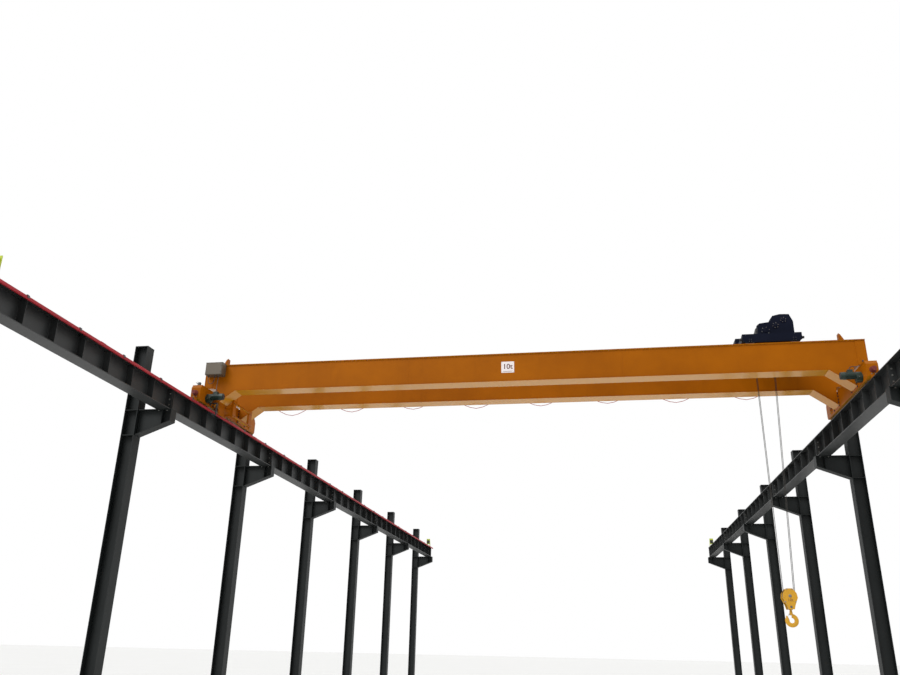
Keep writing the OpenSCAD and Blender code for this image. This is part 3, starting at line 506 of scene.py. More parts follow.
# End stops: brackets of cut plate welded over the rail ends and sprayed yellow-green, each
# with a bolted plate faced in rubber.
stop_green = enamel("stop_enamel", (186, 200, 52), rough=0.45, patch=0.1, dust=0.3, streak=0.4, chip=0.5,
                    under=(60, 55, 50))
dress(stop_green, "end_stops")
rubber, shade, place = new_material("black_rubber")
bloom = noise(place, 18.0, 5.0)
finished(shade, blended(shade, bloom, srgb(26, 26, 27), srgb(58, 56, 54)), 0.7 + bloom * 0.2, bloom, 0.0008)
bm, fixings = bmesh.new(), bmesh.new()
for s in sides_x:
    for e in (-1, 1):
        face = e * (19.04 - 0.01)
        low, high = sorted((face, face - e * 0.03))
        block(bm, (s * rail_x - 0.08, low, 7.73), (s * rail_x + 0.08, high, 7.9), 0.006)
        gather(fixings, hex_bolt(0.016), [facing((s * rail_x + a, e * 19.03, z), (0, -e, 0))
                                          for a in (-0.055, 0.055) for z in (7.7, 7.95)])
piece("stop_pads", bm, rubber, "runway")
piece("stop_bolts", fixings, zinc, "runway")

# Conductor bar: a red insulated cover over the copper, slung under brackets on the beam's top
# flange by snap-on hangers, with a sleeve over each joint.
conductor_red, shade, place = new_material("conductor_cover")
fade = noise(place, 1.4, 5.0, 0.6)
dirt = noise(place, 20.0, 5.0)
upward = shade.node("SeparateXYZ", {}, {0: shade.node("NewGeometry", out="Normal")}, out="Z")
tone = blended(shade, fade * 2.0 - 0.5, srgb(144, 16, 30), srgb(172, 38, 48))
tone = blended(shade, shade.maths("MAXIMUM", upward, 0.0) * dirt * 0.7, tone, srgb(120, 98, 92))
finished(shade, tone, 0.46 + dirt * 0.2, fade, 0.001, Specular_IOR_Level=0.3)
dress(conductor_red, "conductor_bar")
black_zinc = enamel("black_zinc", (52, 53, 55), rough=0.4, patch=0.1, dust=0.3, streak=0.1, chip=0.2,
                    under=(120, 118, 112))
dress(black_zinc, "conductor_brackets", "current_collector", "festoon_end_clamp", "towing_arm",
      *[f"festoon_carrier_{k}" for k in range(1, 8)], "festoon_tow_carrier")
bar_x, bar_z = -8.013, 7.458
bm, hangers = bmesh.new(), bmesh.new()
for k in range(9):
    y = -16.0 + 4.0 * k
    block(bm, (bar_x - 0.0285, y - 0.09, bar_z - 0.03), (bar_x + 0.0285, y + 0.09, bar_z + 0.0305), 0.003)
piece("conductor_joints", bm, conductor_red, "runway")
for k in range(24):
    y = -19.2 + (k + 0.5) * 1.6
    for side in (-1, 1):
        low, high = sorted((bar_x + side * 0.0265, bar_x + side * 0.033))
        block(hangers, (low, y - 0.03, bar_z - 0.012), (high, y + 0.03, bar_z + 0.036), 0.0015)
    block(hangers, (bar_x - 0.033, y - 0.03, bar_z + 0.0285), (bar_x + 0.033, y + 0.03, bar_z + 0.041), 0.002)
    gather(hangers, hex_bolt(0.012), [Matrix.Translation((bar_x, y, 7.508)),
                                      Matrix.Translation((-8.105, y, 7.508))])
piece("conductor_hangers", hangers, black_zinc, "runway")

# Bridge girders: welded boxes of flange and web plates with dropped ends, sprayed orange-yellow
# in enamel that dust has dulled on top; the faces turned down carry a painted reflection, a paler yellow
# that stands in for the floor's light. The webs ripple a little at the diaphragms.
near_y, far_y, bridge_y = -10.44, -8.84, -9.64
crane_orange, shade, place = new_material("crane_enamel")
broad = noise(place, 0.55, 4.0, 0.6)
peel = noise(place, 45.0, 2.0)
stretched = shade.node("Mapping", {}, {"Vector": place, "Scale": (4.0, 4.0, 0.6)})
run = noise(stretched, 1.4, 5.0, 0.65)
spots = noise(place, 7.0, 8.0, 0.75)
along = shade.node("SeparateXYZ", {}, {0: place}, out="X")
diaphragm = shade.maths("PINGPONG", along, 0.55)
buckle = shade.maths("MAXIMUM", 1 - diaphragm * 12.0, 0.0)
upward = shade.node("SeparateXYZ", {}, {0: shade.node("NewGeometry", out="Normal")}, out="Z")
tone = blended(shade, broad * 2.2 - 0.6, srgb(144, 77, 0), srgb(167, 93, 0))
tone = blended(shade, (run * 3.0 - 1.7) * 0.25, tone, srgb(104, 50, 2))
tone = blended(shade, (spots > 0.735), tone, srgb(84, 46, 20))
settled = shade.maths("MAXIMUM", upward * 1.6 - 0.6, 0.0) * (0.3 + spots * 0.8) * 0.45
tone = blended(shade, settled, tone, srgb(160, 138, 104))
# Painted reflection: faces turned down are blended to a paler yellow that stands in for the light the floor throws
# onto the undersides; the same mask also gives them a real clear coat.
under = shade.maths("MAXIMUM", 0.0 - upward, 0.0)
tone = blended(shade, under * 0.75, tone, srgb(206, 146, 20))
finished(shade, tone, 0.4 + (peel - 0.5) * 0.1 + broad * 0.08 + settled * 0.4,
         peel * 0.12 + broad * 0.6 + buckle * 0.5, 0.003, Specular_IOR_Level=0.08, Coat_Roughness=0.15,
         Coat_Weight=under * 0.7)
dress(crane_orange, "near_girder", "far_girder", "left_end_carriage", "right_end_carriage", "trolley_stops",
      "collector_frame")
bm, lug_bolts = bmesh.new(), bmesh.new()
foot_bolt = hex_bolt(0.026)
for y in (near_y, far_y):
    for side in (-1, 1):
        web = y + side * 0.19
        bead(bm, (-7.53, web, 8.113), (7.53, web, 8.113), 0.006)
        bead(bm, (-8.43, web, 8.835), (8.43, web, 8.835), 0.006)
        for s in sides_x:
            bead(bm, (s * 7.54, web, 8.113), (s * 8.1, web, 7.706), 0.006)
            bead(bm, (s * 8.107, y + side * 0.19, 7.7), (s * 8.107, y + side * 0.19, 8.02), 0.005)
        for x in (-2.75, 2.75):
            bead(bm, (x, web, 8.12), (x, web, 8.83), 0.003)
            bead(bm, (x, y + side * 0.19, 8.1), (x, y + side * 0.22, 8.1), 0.003)
gather(lug_bolts, foot_bolt, [facing((s * 8.108, y + side * 0.24, z), (-s, 0, 0)) for s in sides_x
                              for y in (near_y, far_y) for side in (-1, 1)
                              for z in (7.665, 7.745, 7.825, 7.905, 7.985)])
for y in (near_y, far_y):
    for k in range(32):
        x = -7.8 + 0.5 * k
        for side in (-1, 1):
            bead(bm, (x, y + side * 0.025, 8.851), (x + 0.07, y + side * 0.025, 8.851), 0.005)
piece("girder_welds", bm, crane_orange, "bridge")
oxide = enamel("bolt_oxide", (62, 24, 16), rough=0.5, patch=0.15, dust=0.15)
piece("foot_bolts", lug_bolts, oxide, "bridge")

# End carriages: box sections with a wheel well at each end. Covers bolted over the axle ends hold
# the bearings, and a steel sweeper at each end keeps the rail clear.
axle_z, wheel_reach, carriage_half, buffer_z = 7.76, 1.4, 1.8, 7.815
inner_x, outer_x = 8.12, 8.38
bm, screws = bmesh.new(), bmesh.new()
cover_bolt = hex_bolt(0.013)
covers = [(s * outer_x, s, y) for s in sides_x for y in (bridge_y - wheel_reach, bridge_y + wheel_reach)]
covers += [(s * inner_x, -s, bridge_y + wheel_reach) for s in sides_x]
for x, way, y in covers:
    turned(bm, (x, y, axle_z), (way, 0, 0), [(0, 0.098), (0.012, 0.098), (0.014, 0.096), (0.014, 0.062),
                                             (0.03, 0.056), (0.034, 0.05), (0.034, 0)], 32)
    gather(screws, cover_bolt,
           [facing((x + way * 0.014, y + 0.079 * math.cos(a), axle_z + 0.079 * math.sin(a)),
            (way, 0, 0)) for a in [math.radians(30 + 60 * i) for i in range(6)]])
for s in sides_x:
    for e in (-1, 1):
        end_y = bridge_y + e * carriage_half
        low, high = sorted((end_y, end_y + e * 0.012))
        block(bm, (s * rail_x - 0.06, low, 7.572), (s * rail_x + 0.06, high, 7.735), 0.002)
        gather(screws, cover_bolt, [facing((s * rail_x + a, end_y + e * 0.012, 7.715), (0, e, 0))
                                    for a in (-0.04, 0.04)])
        for k in range(6):
            a = math.radians(60 * k)
            bead(bm, (s * rail_x + 0.079 * math.cos(a), end_y, buffer_z + 0.079 * math.sin(a)),
                 (s * rail_x + 0.079 * math.cos(a + 1.05), end_y, buffer_z + 0.079 * math.sin(a + 1.05)), 0.004)
    for x in (s * inner_x, s * outer_x):
        for z in (7.625, 8.035):
            bead(bm, (x, bridge_y - 1.1, z), (x, bridge_y + 1.1, z), 0.004)
piece("axle_covers", bm, crane_orange, "bridge")
piece("carriage_bolts", screws, zinc, "bridge")

# Travel limit switch: a cast box with a crossed steel lever on its shaft, screwed to a foot
# plate on top of the left carriage.
bm = bmesh.new()
block(bm, (-8.29, -11.33, 8.05), (-8.21, -11.25, 8.058), 0.001)
block(bm, (-8.28, -11.32, 8.058), (-8.22, -11.26, 8.15), 0.004)
rod(bm, (-8.28, -11.29, 8.12), (-8.305, -11.29, 8.12), 0.01)
block(bm, (-8.312, -11.39, 8.114), (-8.304, -11.19, 8.126), 0.002)
block(bm, (-8.311, -11.296, 8.06), (-8.305, -11.284, 8.18), 0.002)
piece("travel_limit_switch", bm, black_zinc, "bridge")

# Wheels, drum and sheaves: forged and turned steel, pressed on their axles; the treads and
# grooves run bright, and the hubs are dark with grease.
wheel_steel = bare_metal("wheel_steel", (112, 112, 112), rough=0.38, rust=0.35)
dress(wheel_steel, "bridge_wheels", "trolley_wheels", "rope_drum", "upper_sheaves", "block_sheaves", "crosshead")

# Buffers: dark red elastomer cones, one at each carriage end, each bonded to a round plate
# that is bolted on, with ribs moulded round it.
buffer_red, shade, place = new_material("buffer_red")
scuff = noise(place, 22.0, 6.0)
finished(shade, blended(shade, scuff * 1.6 - 0.4, srgb(122, 34, 26), srgb(86, 40, 34)),
         0.55 + scuff * 0.25, scuff, 0.001)
dress(buffer_red, "buffers")
bm = bmesh.new()
for s in sides_x:
    for e in (-1, 1):
        y = bridge_y + e * carriage_half
        turned(bm, (s * rail_x, y + e * 0.012, buffer_z), (0, e, 0),
               [(0, 0.06), (0.004, 0.0655), (0.014, 0.0655), (0.018, 0.0605)], 32)
        for d in (0.05, 0.085):
            r = 0.06 - 0.016 * d / 0.13
            turned(bm, (s * rail_x, y + e * d, buffer_z), (0, e, 0), [(0, r - 0.002), (0.004, r + 0.0035),
                                                                (0.012, r + 0.003), (0.016, r - 0.003)], 32)
piece("buffer_ribs", bm, buffer_red, "bridge")

# Travel gear motors: cast housing and ribbed motor in dark green, with a pressed fan cover and
# a small terminal box; the lid, caps and plugs are bolted.
motor_green = enamel("motor_enamel", (10, 37, 28), rough=0.38, patch=0.12, dust=0.25, streak=0.1, chip=0.3,
                     under=(90, 92, 88))
dress(motor_green, "left_gear_motor", "right_gear_motor", "trolley_motor")


def grille(bm, start, direction, radius, rings=4):
    """Rings and spokes over a fan cover's open end."""
    for k in range(rings):
        r = radius * (0.25 + 0.72 * k / (rings - 1))
        turned(bm, start, direction,
               [(0, r - 0.0025), (0.003, r - 0.002), (0.003, r + 0.002), (0, r + 0.0025)], 28)
    spin = Matrix.Translation(start) @ Vector(direction).to_track_quat("Z", "Y").to_matrix().to_4x4()
    spoke = bmesh.new()
    rod(spoke, (radius * 0.24, 0, 0.001), (radius * 0.97, 0, 0.001), 0.0018, 6)
    gather(bm, spoke, [spin @ Matrix.Rotation(math.radians(45 * k), 4, "Z") for k in range(8)])


bm, screws, dark = bmesh.new(), bmesh.new(), bmesh.new()
small_bolt, lid_screw = hex_bolt(0.009), hex_bolt(0.0055)
drive_y, drive_z = bridge_y - wheel_reach, 7.815
for s in sides_x:
    way = -s
    face = s * inner_x
    at = lambda d: face + way * d
    turned(bm, (at(0.134), drive_y, 7.705), (way, 0, 0),
           [(0, 0.034), (0.006, 0.034), (0.008, 0.03), (0.008, 0)])
    for a in (-0.5, 0.5, 1.6, 2.6, 3.65):
        high = 7.755 - 0.082 * abs(math.sin(a))
        gather(screws, small_bolt, [facing((at(0.134), drive_y + 0.085 * math.cos(a), high), (way, 0, 0))])
    gather(screws, small_bolt, [facing((at(0.075), drive_y + b * 0.094, 7.762), (0, b, 0)) for b in (-1, 1)])
    low, high = sorted((at(0.186), at(0.304)))
    block(bm, (low, drive_y - 0.059, 7.935), (high, drive_y + 0.059, 7.951), 0.003)
    gather(screws, lid_screw, [Matrix.Translation((at(d), drive_y + b * 0.05, 7.951)) for d in (0.196, 0.294)
                               for b in (-1, 1)])
    rod(dark, (at(0.245), drive_y, 7.95), (at(0.245), drive_y, 7.962), 0.014, 6)
    grille(dark, (at(0.462), drive_y, drive_z), (way, 0, 0), 0.08)
    # a thin black disc behind the grille: painted shade standing in for the dark inside of the fan cover
    turned(dark, (at(0.4615), drive_y, drive_z), (way, 0, 0), [(0, 0.081), (0.0008, 0.081), (0.0008, 0)])
    turned(bm, (at(0.364), drive_y, drive_z), (way, 0, 0), [(0, 0.0915), (0.003, 0.0945), (0.009, 0.0945),
                                                            (0.012, 0.0908)], 32)
piece("gear_motor_caps", bm, motor_green, "bridge")
piece("gear_motor_screws", screws, zinc, "bridge")
piece("gear_motor_grilles", dark, black_zinc, "bridge")

# Control cabinet: folded sheet, powder-coated grey-beige, with a hinged door, two quarter-turn
# locks and cable glands in its floor; it hangs on two bars bolted to the girder.
cabinet_beige = enamel("cabinet_enamel", (88, 78, 64), rough=0.4, patch=0.06, dust=0.3, streak=0.25, chip=0.1,
                       under=(110, 100, 90))
dress(cabinet_beige, "control_cabinet")
bm, dark = bmesh.new(), bmesh.new()
door_y = -10.903
block(bm, (-8.334, door_y - 0.0035, 8.514), (-7.886, door_y, 8.826), 0.0015)
block(bm, (-8.358, -10.907, 8.838), (-7.862, -10.66, 8.8455), 0.002)
for z in (8.57, 8.77):
    rod(bm, (-8.336, door_y - 0.004, z - 0.025), (-8.336, door_y - 0.004, z + 0.025), 0.006, 12)
for z in (8.58, 8.76):
    turned(dark, (-7.91, door_y - 0.0035, z), (0, -1, 0),
           [(0, 0.014), (0.006, 0.013), (0.007, 0.006), (0.007, 0)])
    block(dark, (-7.913, door_y - 0.012, z - 0.008), (-7.907, door_y - 0.0095, z + 0.008), 0.001)
for x in (-8.29, -8.105, -8.0):
    turned(dark, (x, -10.8, 8.5), (0, 0, -1), [(0, 0.021), (0.008, 0.021), (0.009, 0.017), (0.024, 0.0155),
                                             (0.028, 0.011), (0.028, 0)], 12)
gather(dark, hex_bolt(0.011),
       [facing((x, -10.669, z), (0, -1, 0)) for x in (-8.18, -7.93) for z in (8.57, 8.78)])
for z in (8.515, 8.823):
    block(dark, (-8.335, door_y - 0.0006, z - 0.0012), (-7.885, door_y + 0.0004, z + 0.0012), 0.0003)
turned(dark, (8.33, -10.644, 8.3), (0, -1, 0), [(0, 0.021), (0.008, 0.021), (0.009, 0.017), (0.02, 0.0155),
                                                (0.024, 0.011), (0.024, 0)], 12)
piece("cabinet_door", bm, cabinet_beige, "bridge")
piece("cabinet_fittings", dark, black_zinc, "bridge")

# Capacity plate: white enamelled sheet riveted to the near girder at its corners, with the
# rating and two lines under it printed in dark brown.
plate_white = enamel("plate_enamel", (232, 224, 224), rough=0.32, patch=0.03, dust=0.2, streak=0.2, chip=0.1,
                     under=(150, 140, 130))
dress(plate_white, "capacity_plate")
rating_brown, shade, place = new_material("rating_brown")
fleck = noise(place, 40.0, 4.0)
finished(shade, blended(shade, fleck * 1.4 - 0.3, srgb(78, 30, 20), srgb(104, 52, 38)),
         0.45 + fleck * 0.2, fleck, 0.0005)


def lettered(words, size, depth, swell, place):
    """Flat raised characters that face -Y, centred on a place."""
    curve = bpy.data.curves.new("lettering", "FONT")
    curve.body, curve.size, curve.extrude, curve.offset = words, size, depth, swell
    curve.align_x, curve.align_y = "CENTER", "CENTER"
    drawn = bpy.data.objects.new("lettering", curve)
    mesh = bpy.data.meshes.new_from_object(drawn)
    bpy.data.objects.remove(drawn)
    mesh.transform(Matrix.Translation(place) @ Matrix.Rotation(math.radians(90), 4, "X"))
    bm = bmesh.new()
    bm.from_mesh(mesh)
    bpy.data.meshes.remove(mesh)
    bmesh.ops.remove_doubles(bm, verts=bm.verts, dist=1e-5)
    return bm


bm = lettered("10t", 0.19, 0.0006, 0.0035, (-0.145, -10.6342, 8.497))
for low, high in (((-0.27, 8.372), (-0.02, 8.378)), ((-0.25, 8.356), (-0.04, 8.36))):
    block(bm, (low[0], -10.6352, low[1]), (high[0], -10.6338, high[1]), 0.0003)
piece("capacity_rating", bm, rating_brown, "bridge")
bm = bmesh.new()
gather(bm, hex_bolt(0.006),
       [facing((x, -10.634, z), (0, -1, 0)) for x in (-0.295, 0.005) for z in (8.35, 8.62)])
piece("capacity_rivets", bm, zinc, "bridge")

# Current collector: a spring-loaded arm bolted to the bracket plate, on two insulators; its
# shoe rides in the underside of the conductor bar.
bm, spring = bmesh.new(), bmesh.new()
shoe_y = -10.82
gather(bm, small_bolt,
       [facing((-8.108, shoe_y + a, z), (1, 0, 0)) for a in (-0.026, 0.026) for z in (7.665, 7.755)])
for y in (shoe_y - 0.07, shoe_y + 0.07):
    turned(bm, (bar_x, y, 7.362), (0, 0, 1),
           [(0, 0), (0, 0.009), (0.006, 0.013), (0.012, 0.009), (0.018, 0.013), (0.024, 0.009),
            (0.028, 0.009), (0.028, 0)], 14)
rod(bm, (-7.9275, shoe_y - 0.02, 7.7), (-7.9275, shoe_y + 0.02, 7.7), 0.012, 12)
piece("collector_insulators", bm, black_zinc, "bridge")


def coiled(radius, wire_r, sides, rise, steps, turns=1):
    """Round wire wound about +Z, rising a little at each step; with no rise it closes into a ring."""
    coil = bmesh.new()
    bmesh.ops.create_circle(coil, segments=sides, radius=wire_r, matrix=Matrix.Translation((radius, 0, 0))
                            @ Matrix.Rotation(math.radians(90), 4, "X"))
    bmesh.ops.spin(coil, geom=coil.verts[:] + coil.edges[:], cent=(0, 0, 0), axis=(0, 0, 1),
                   dvec=(0, 0, rise), angle=2 * math.pi * turns, steps=steps, use_merge=not rise,
                   use_duplicate=False)
    if rise:
        bmesh.ops.holes_fill(coil, edges=coil.edges[:])
    else:
        bmesh.ops.remove_doubles(coil, verts=coil.verts, dist=1e-6)
    bmesh.ops.recalc_face_normals(coil, faces=coil.faces)
    return coil


wire = coiled(0.009, 0.0013, 6, 0.12 / 160, 160, 20)
gather(spring, wire, [facing((-7.9275, shoe_y + a, 7.56), (0, 0, 1)) for a in (-0.02, 0.02)])
piece("collector_springs", spring, zinc, "bridge")

# Collector frame: two channel posts welded under the girders' slopes over the conductor bar, angle
# bars between them for a fitter to hold, and a bracket plate; all bolted and sprayed with the crane.
bm, screws = bmesh.new(), bmesh.new()
for y in (-10.26, -9.2):
    for edge in (0.0, 0.18):
        bead(bm, (-7.778, y + edge, 7.9215), (-7.722, y + edge, 7.9635), 0.005)
    gather(screws, cover_bolt, [facing((-7.72, y + 0.09 + a, z), (1, 0, 0)) for a in (-0.05, 0.05)
                                for z in (7.53, 7.87)])
for z in (7.5305, 7.9):
    for y in (-10.08, -9.2):
        bead(bm, (-7.723, y, z - 0.02), (-7.723, y, z + 0.02), 0.004)
bead(bm, (-7.938, -10.66, 7.802), (-7.938, -10.22, 7.802), 0.005)
gather(screws, cover_bolt, [facing((-7.938, y, z), (1, 0, 0)) for y in (-10.62, -10.3) for z in (7.5, 7.72)])
piece("frame_welds", bm, crane_orange, "bridge")
piece("frame_bolts", screws, oxide, "bridge")

# Festoon track: rolled C rail of galvanised steel, bolted to arms that are welded to the far
# girder, and spliced with bolted plates outside the rail.
dress(zinc, "festoon_rail")
bm = bmesh.new()
gather(bm, small_bolt, [Matrix.Translation((-7.66 + k * 1.91 + a, festoon_y, 8.712)) for k in range(9)
                        for a in (-0.018, 0.018)])
for k in range(4):
    x = -4.75 + 3.82 * k - 0.95
    block(bm, (x - 0.07, festoon_y - 0.0275, 8.7035), (x + 0.07, festoon_y + 0.0275, 8.7065), 0.001)
    for low in (festoon_y - 0.0275, festoon_y + 0.0238):
        block(bm, (x - 0.07, low, 8.664), (x + 0.07, low + 0.0037, 8.705), 0.001)
    gather(bm, small_bolt, [facing((x + a, festoon_y + b * 0.0275, 8.685), (0, b, 0)) for a in (-0.045, 0.045)
                            for b in (-1, 1)])
piece("track_splices", bm, zinc, "bridge")

# Cable carriers: black zinc, each with two nuts under its clamp bar, two wheel pins and a rubber
# bump pad at both ends of its block.
for k in range(9):
    x = clamp_x + k * pitch_x
    bm, pads = bmesh.new(), bmesh.new()
    nut = bmesh.new()
    turned(nut, (0, 0, 0), (0, 0, -1), [(0, 0), (0, 0.008), (0.006, 0.0085), (0.007, 0.007), (0.007, 0)], 6)
    gather(bm, nut, [Matrix.Translation((x, festoon_y + b * 0.026, 8.564)) for b in (-1, 1)])
    gather(bm, lid_screw, [Matrix.Translation((x + a, festoon_y + b * 0.026, 8.6)) for a in (-0.024, 0.024)
                           for b in (-1, 1)])
    for way in (-1, 1):
        low, high = sorted((x + way * 0.05, x + way * 0.055))
        block(pads, (low, festoon_y - 0.018, 8.622), (high, festoon_y + 0.018, 8.638), 0.0015)
    piece(f"carrier_nuts_{k}", bm, zinc, carriers[k])
    piece(f"carrier_pads_{k}", pads, rubber, carriers[k])

# Trolley frame: box side members over the wheels and two cross members, in dark blue enamel,
# with bearing covers on the axle ends and the drives bolted on top.
hoist_blue = enamel("hoist_enamel", (4, 10, 30), rough=0.45, patch=0.12, dust=0.04, streak=0.1, chip=0.1,
                    under=(26, 27, 34), specular=0.08)
dress(hoist_blue, "trolley_frame", "drum_bearing", "hoist_gearbox", "hoist_motor", "hoist_electrics")
dress(rubber, "trolley_buffers")
trolley_x, frame_top = 6.39, 9.155


def bolt_circle(x, y, z, radius, way, count, first=0):
    """Places for bolts in a circle round an axis along Y."""
    return [facing((x + radius * math.cos(t), y, z + radius * math.sin(t)), (0, way, 0))
            for t in [math.radians(first + 360 / count * i) for i in range(count)]]


trolley_axle_z = 8.99
bm, screws = bmesh.new(), bmesh.new()
for y, way in ((near_y - 0.07, -1), (far_y + 0.07, 1), (far_y - 0.07, -1)):
    for a in (-0.52, 0.52):
        x = trolley_x + a
        turned(bm, (x, y, trolley_axle_z), (0, way, 0),
               [(0, 0.05), (0.008, 0.05), (0.01, 0.048), (0.01, 0.03), (0.018, 0.026), (0.02, 0.022), (0.02, 0)], 24)
        gather(screws, lid_screw, bolt_circle(x, y + way * 0.01, trolley_axle_z, 0.039, way, 4, 45))
for x in (trolley_x - 0.64, trolley_x + 0.64):
    for side in (-1, 1):
        for y, way in ((near_y + 0.07, 1), (far_y - 0.07, -1)):
            bead(bm, (x + side * 0.05, y + way * 0.003, 9.03), (x + side * 0.05, y + way * 0.003, 9.15), 0.005)
            bead(bm, (x - 0.05, y + way * 0.003, 9.156), (x + 0.05, y + way * 0.003, 9.156), 0.005)
foot = hex_bolt(0.016)
drum_x, drum_z, box_y, bearing_y = 6.31, 9.32, -10.26, -9.17
for a in (-0.27, 0.27):
    block(bm, (drum_x + a - 0.033, bearing_y, frame_top),
          (drum_x + a + 0.033, bearing_y + 0.04, frame_top + 0.012), 0.002)
    gather(screws, foot, [Matrix.Translation((drum_x + a, bearing_y + 0.02, frame_top + 0.012))])
for s in (-1, 1):
    for y in (near_y, far_y):
        turned(bm, (trolley_x + s * 0.70, y, 9.04), (s, 0, 0),
               [(0.0, 0.05), (0.006, 0.05), (0.006, 0.046)], 24)
piece("trolley_covers", bm, hoist_blue, "trolley")
piece("trolley_screws", screws, zinc, "trolley")

# Hoist gearbox: cast housing split along its middle, with bolted bearing covers, a sight glass
# and a breather. Its drum-side hub carries the drum; the far end runs in a cap bearing.
bm, screws, dark = bmesh.new(), bmesh.new(), bmesh.new()
for x, z, r in ((drum_x, drum_z, 0.1), (drum_x + 0.25, frame_top + 0.3, 0.075),
                (drum_x + 0.45, frame_top + 0.44, 0.07)):
    turned(bm, (x, box_y, z), (0, -1, 0),
           [(0, r + 0.012), (0.012, r + 0.01), (0.014, r + 0.004), (0.014, r * 0.62), (0.024, r * 0.55),
            (0.027, r * 0.45), (0.027, 0)], 32)
    gather(screws, small_bolt, bolt_circle(x, box_y - 0.014, z, r - 0.008, -1, 6, 15))
rim = [(-0.19, 0.0), (0.64, 0.0), (0.68, 0.06), (0.68, 0.4), (0.602, 0.574), (0.38, 0.584), (0.2, 0.545),
       (0.11, 0.4), (-0.13, 0.37), (-0.19, 0.31)]
for (x0, z0), (x1, z1) in list(zip(rim, rim[1:]))[2:]:
    rod(bm, (drum_x + x0, box_y + 0.075, frame_top + z0), (drum_x + x1, box_y + 0.075, frame_top + z1), 0.014, 8)
    steps = max(1, round(math.dist((x0, z0), (x1, z1)) / 0.13))
    for k in range(steps):
        t = (k + 0.5) / steps
        x, z = drum_x + x0 + (x1 - x0) * t, frame_top + z0 + (z1 - z0) * t
        out = Vector((z0 - z1, 0, x1 - x0)).normalized()
        lug = Vector((x, box_y + 0.06, z)) - out * 0.004
        turned(bm, lug, (0, 1, 0), [(0, 0), (0, 0.013), (0.03, 0.013), (0.03, 0)], 10)
        gather(screws, lid_screw, [facing(lug, (0, -1, 0)), facing(lug + Vector((0, 0.03, 0)), (0, 1, 0))])
turned(dark, (drum_x + 0.06, box_y, frame_top + 0.08), (0, -1, 0),
       [(0, 0.02), (0.008, 0.02), (0.008, 0.012), (0.005, 0.012), (0.005, 0)], 16)
turned(dark, (drum_x + 0.5, box_y + 0.04, frame_top + 0.594), (0, 0, 1), [(0, 0.012), (0.006, 0.012)], 6)
block(bm, (drum_x + 0.63, box_y, frame_top), (drum_x + 0.765, box_y + 0.15, frame_top + 0.016), 0.002)
gather(screws, foot,
       [Matrix.Translation((drum_x + 0.72, box_y + d, frame_top + 0.016)) for d in (0.03, 0.12)])
turned(bm, (drum_x, bearing_y + 0.04, drum_z), (0, 1, 0),
       [(0, 0.085), (0.012, 0.083), (0.014, 0.08), (0.014, 0.05), (0.034, 0.046), (0.036, 0.042),
        (0.036, 0)], 32)
gather(screws, small_bolt, bolt_circle(drum_x, bearing_y + 0.054, drum_z, 0.066, 1, 6))
piece("gearbox_covers", bm, hoist_blue, "trolley")
piece("gearbox_bolts", screws, zinc, "trolley")

# Hoist and trolley motors: a pressed fan cover with a grille, a lifting eye, and a bolted lid on
# the terminal box below.
motor_x, motor_z, motor_end = 6.76, 9.595, -9.47
bm = bmesh.new()
grille(dark, (motor_x, motor_end, motor_z), (0, 1, 0), 0.13, 6)
# a thin black disc behind the grille: painted shade standing in for the dark inside of the fan cover
turned(dark, (motor_x, motor_end, motor_z), (0, 1, 0), [(0, 0.131), (0.0008, 0.131), (0.0008, 0)], 32)
grille(dark, (5.87, -10.07, 8.99), (0, 1, 0), 0.062, 3)
# a thin black disc behind the grille: painted shade standing in for the dark inside of the fan cover
turned(dark, (5.87, -10.07, 8.99), (0, 1, 0), [(0, 0.063), (0.0008, 0.063), (0.0008, 0)], 24)
turned(bm, (motor_x, motor_end - 0.15, motor_z), (0, 1, 0),
       [(0, 0.1455), (0.003, 0.149), (0.012, 0.149), (0.015, 0.1445)], 40)
gather(dark, small_bolt, bolt_circle(motor_x, -10.08, motor_z, 0.138, 1, 8, 22))
block(bm, (motor_x - 0.075, -9.945, 9.404), (motor_x + 0.075, -9.775, 9.414), 0.003)
gather(dark, lid_screw, [facing((motor_x + a * 0.064, -9.86 + b * 0.074, 9.404), (0, 0, -1)) for a in (-1, 1)
                         for b in (-1, 1)])
gland = [(0, 0.018), (0.008, 0.018), (0.009, 0.014), (0.022, 0.012), (0.022, 0)]
turned(dark, (motor_x - 0.07, -9.86, 9.448), (-1, 0, 0), gland, 12)
ring = coiled(0.02, 0.0055, 8, 0, 20)
gather(dark, ring, [facing((motor_x, -9.79, 9.727), (0, 1, 0))])
rod(dark, (motor_x, -9.79, 9.69), (motor_x, -9.79, 9.71), 0.012, 12)
piece("hoist_motor_trim", bm, hoist_blue, "trolley")
piece("motor_grilles", dark, black_zinc, "trolley")

# Hoist electrics: a box of folded sheet, sprayed with the hoist, with one hinged door, a turn
# handle and four cable glands screwed into its side.
bm, dark = bmesh.new(), bmesh.new()
door_x = 5.712
block(bm, (door_x - 0.003, -9.381, 9.174), (door_x, -8.919, 9.436), 0.0015)
block(bm, (5.714, -9.406, 9.452), (5.976, -8.894, 9.459), 0.002)
for z in (9.22, 9.39):
    rod(bm, (door_x - 0.004, -8.917, z - 0.02), (door_x - 0.004, -8.917, z + 0.02), 0.006, 12)
turned(dark, (door_x - 0.003, -9.35, 9.305), (-1, 0, 0),
       [(0, 0.016), (0.006, 0.015), (0.008, 0.008), (0.008, 0)])
block(dark, (door_x - 0.016, -9.356, 9.27), (door_x - 0.01, -9.344, 9.34), 0.002)
for y in (-9.3, -9.23, -9.16, -9.09):
    turned(dark, (5.97, y, 9.2), (1, 0, 0), gland, 12)
piece("electrics_door", bm, hoist_blue, "trolley")
piece("electrics_fittings", dark, black_zinc, "trolley")

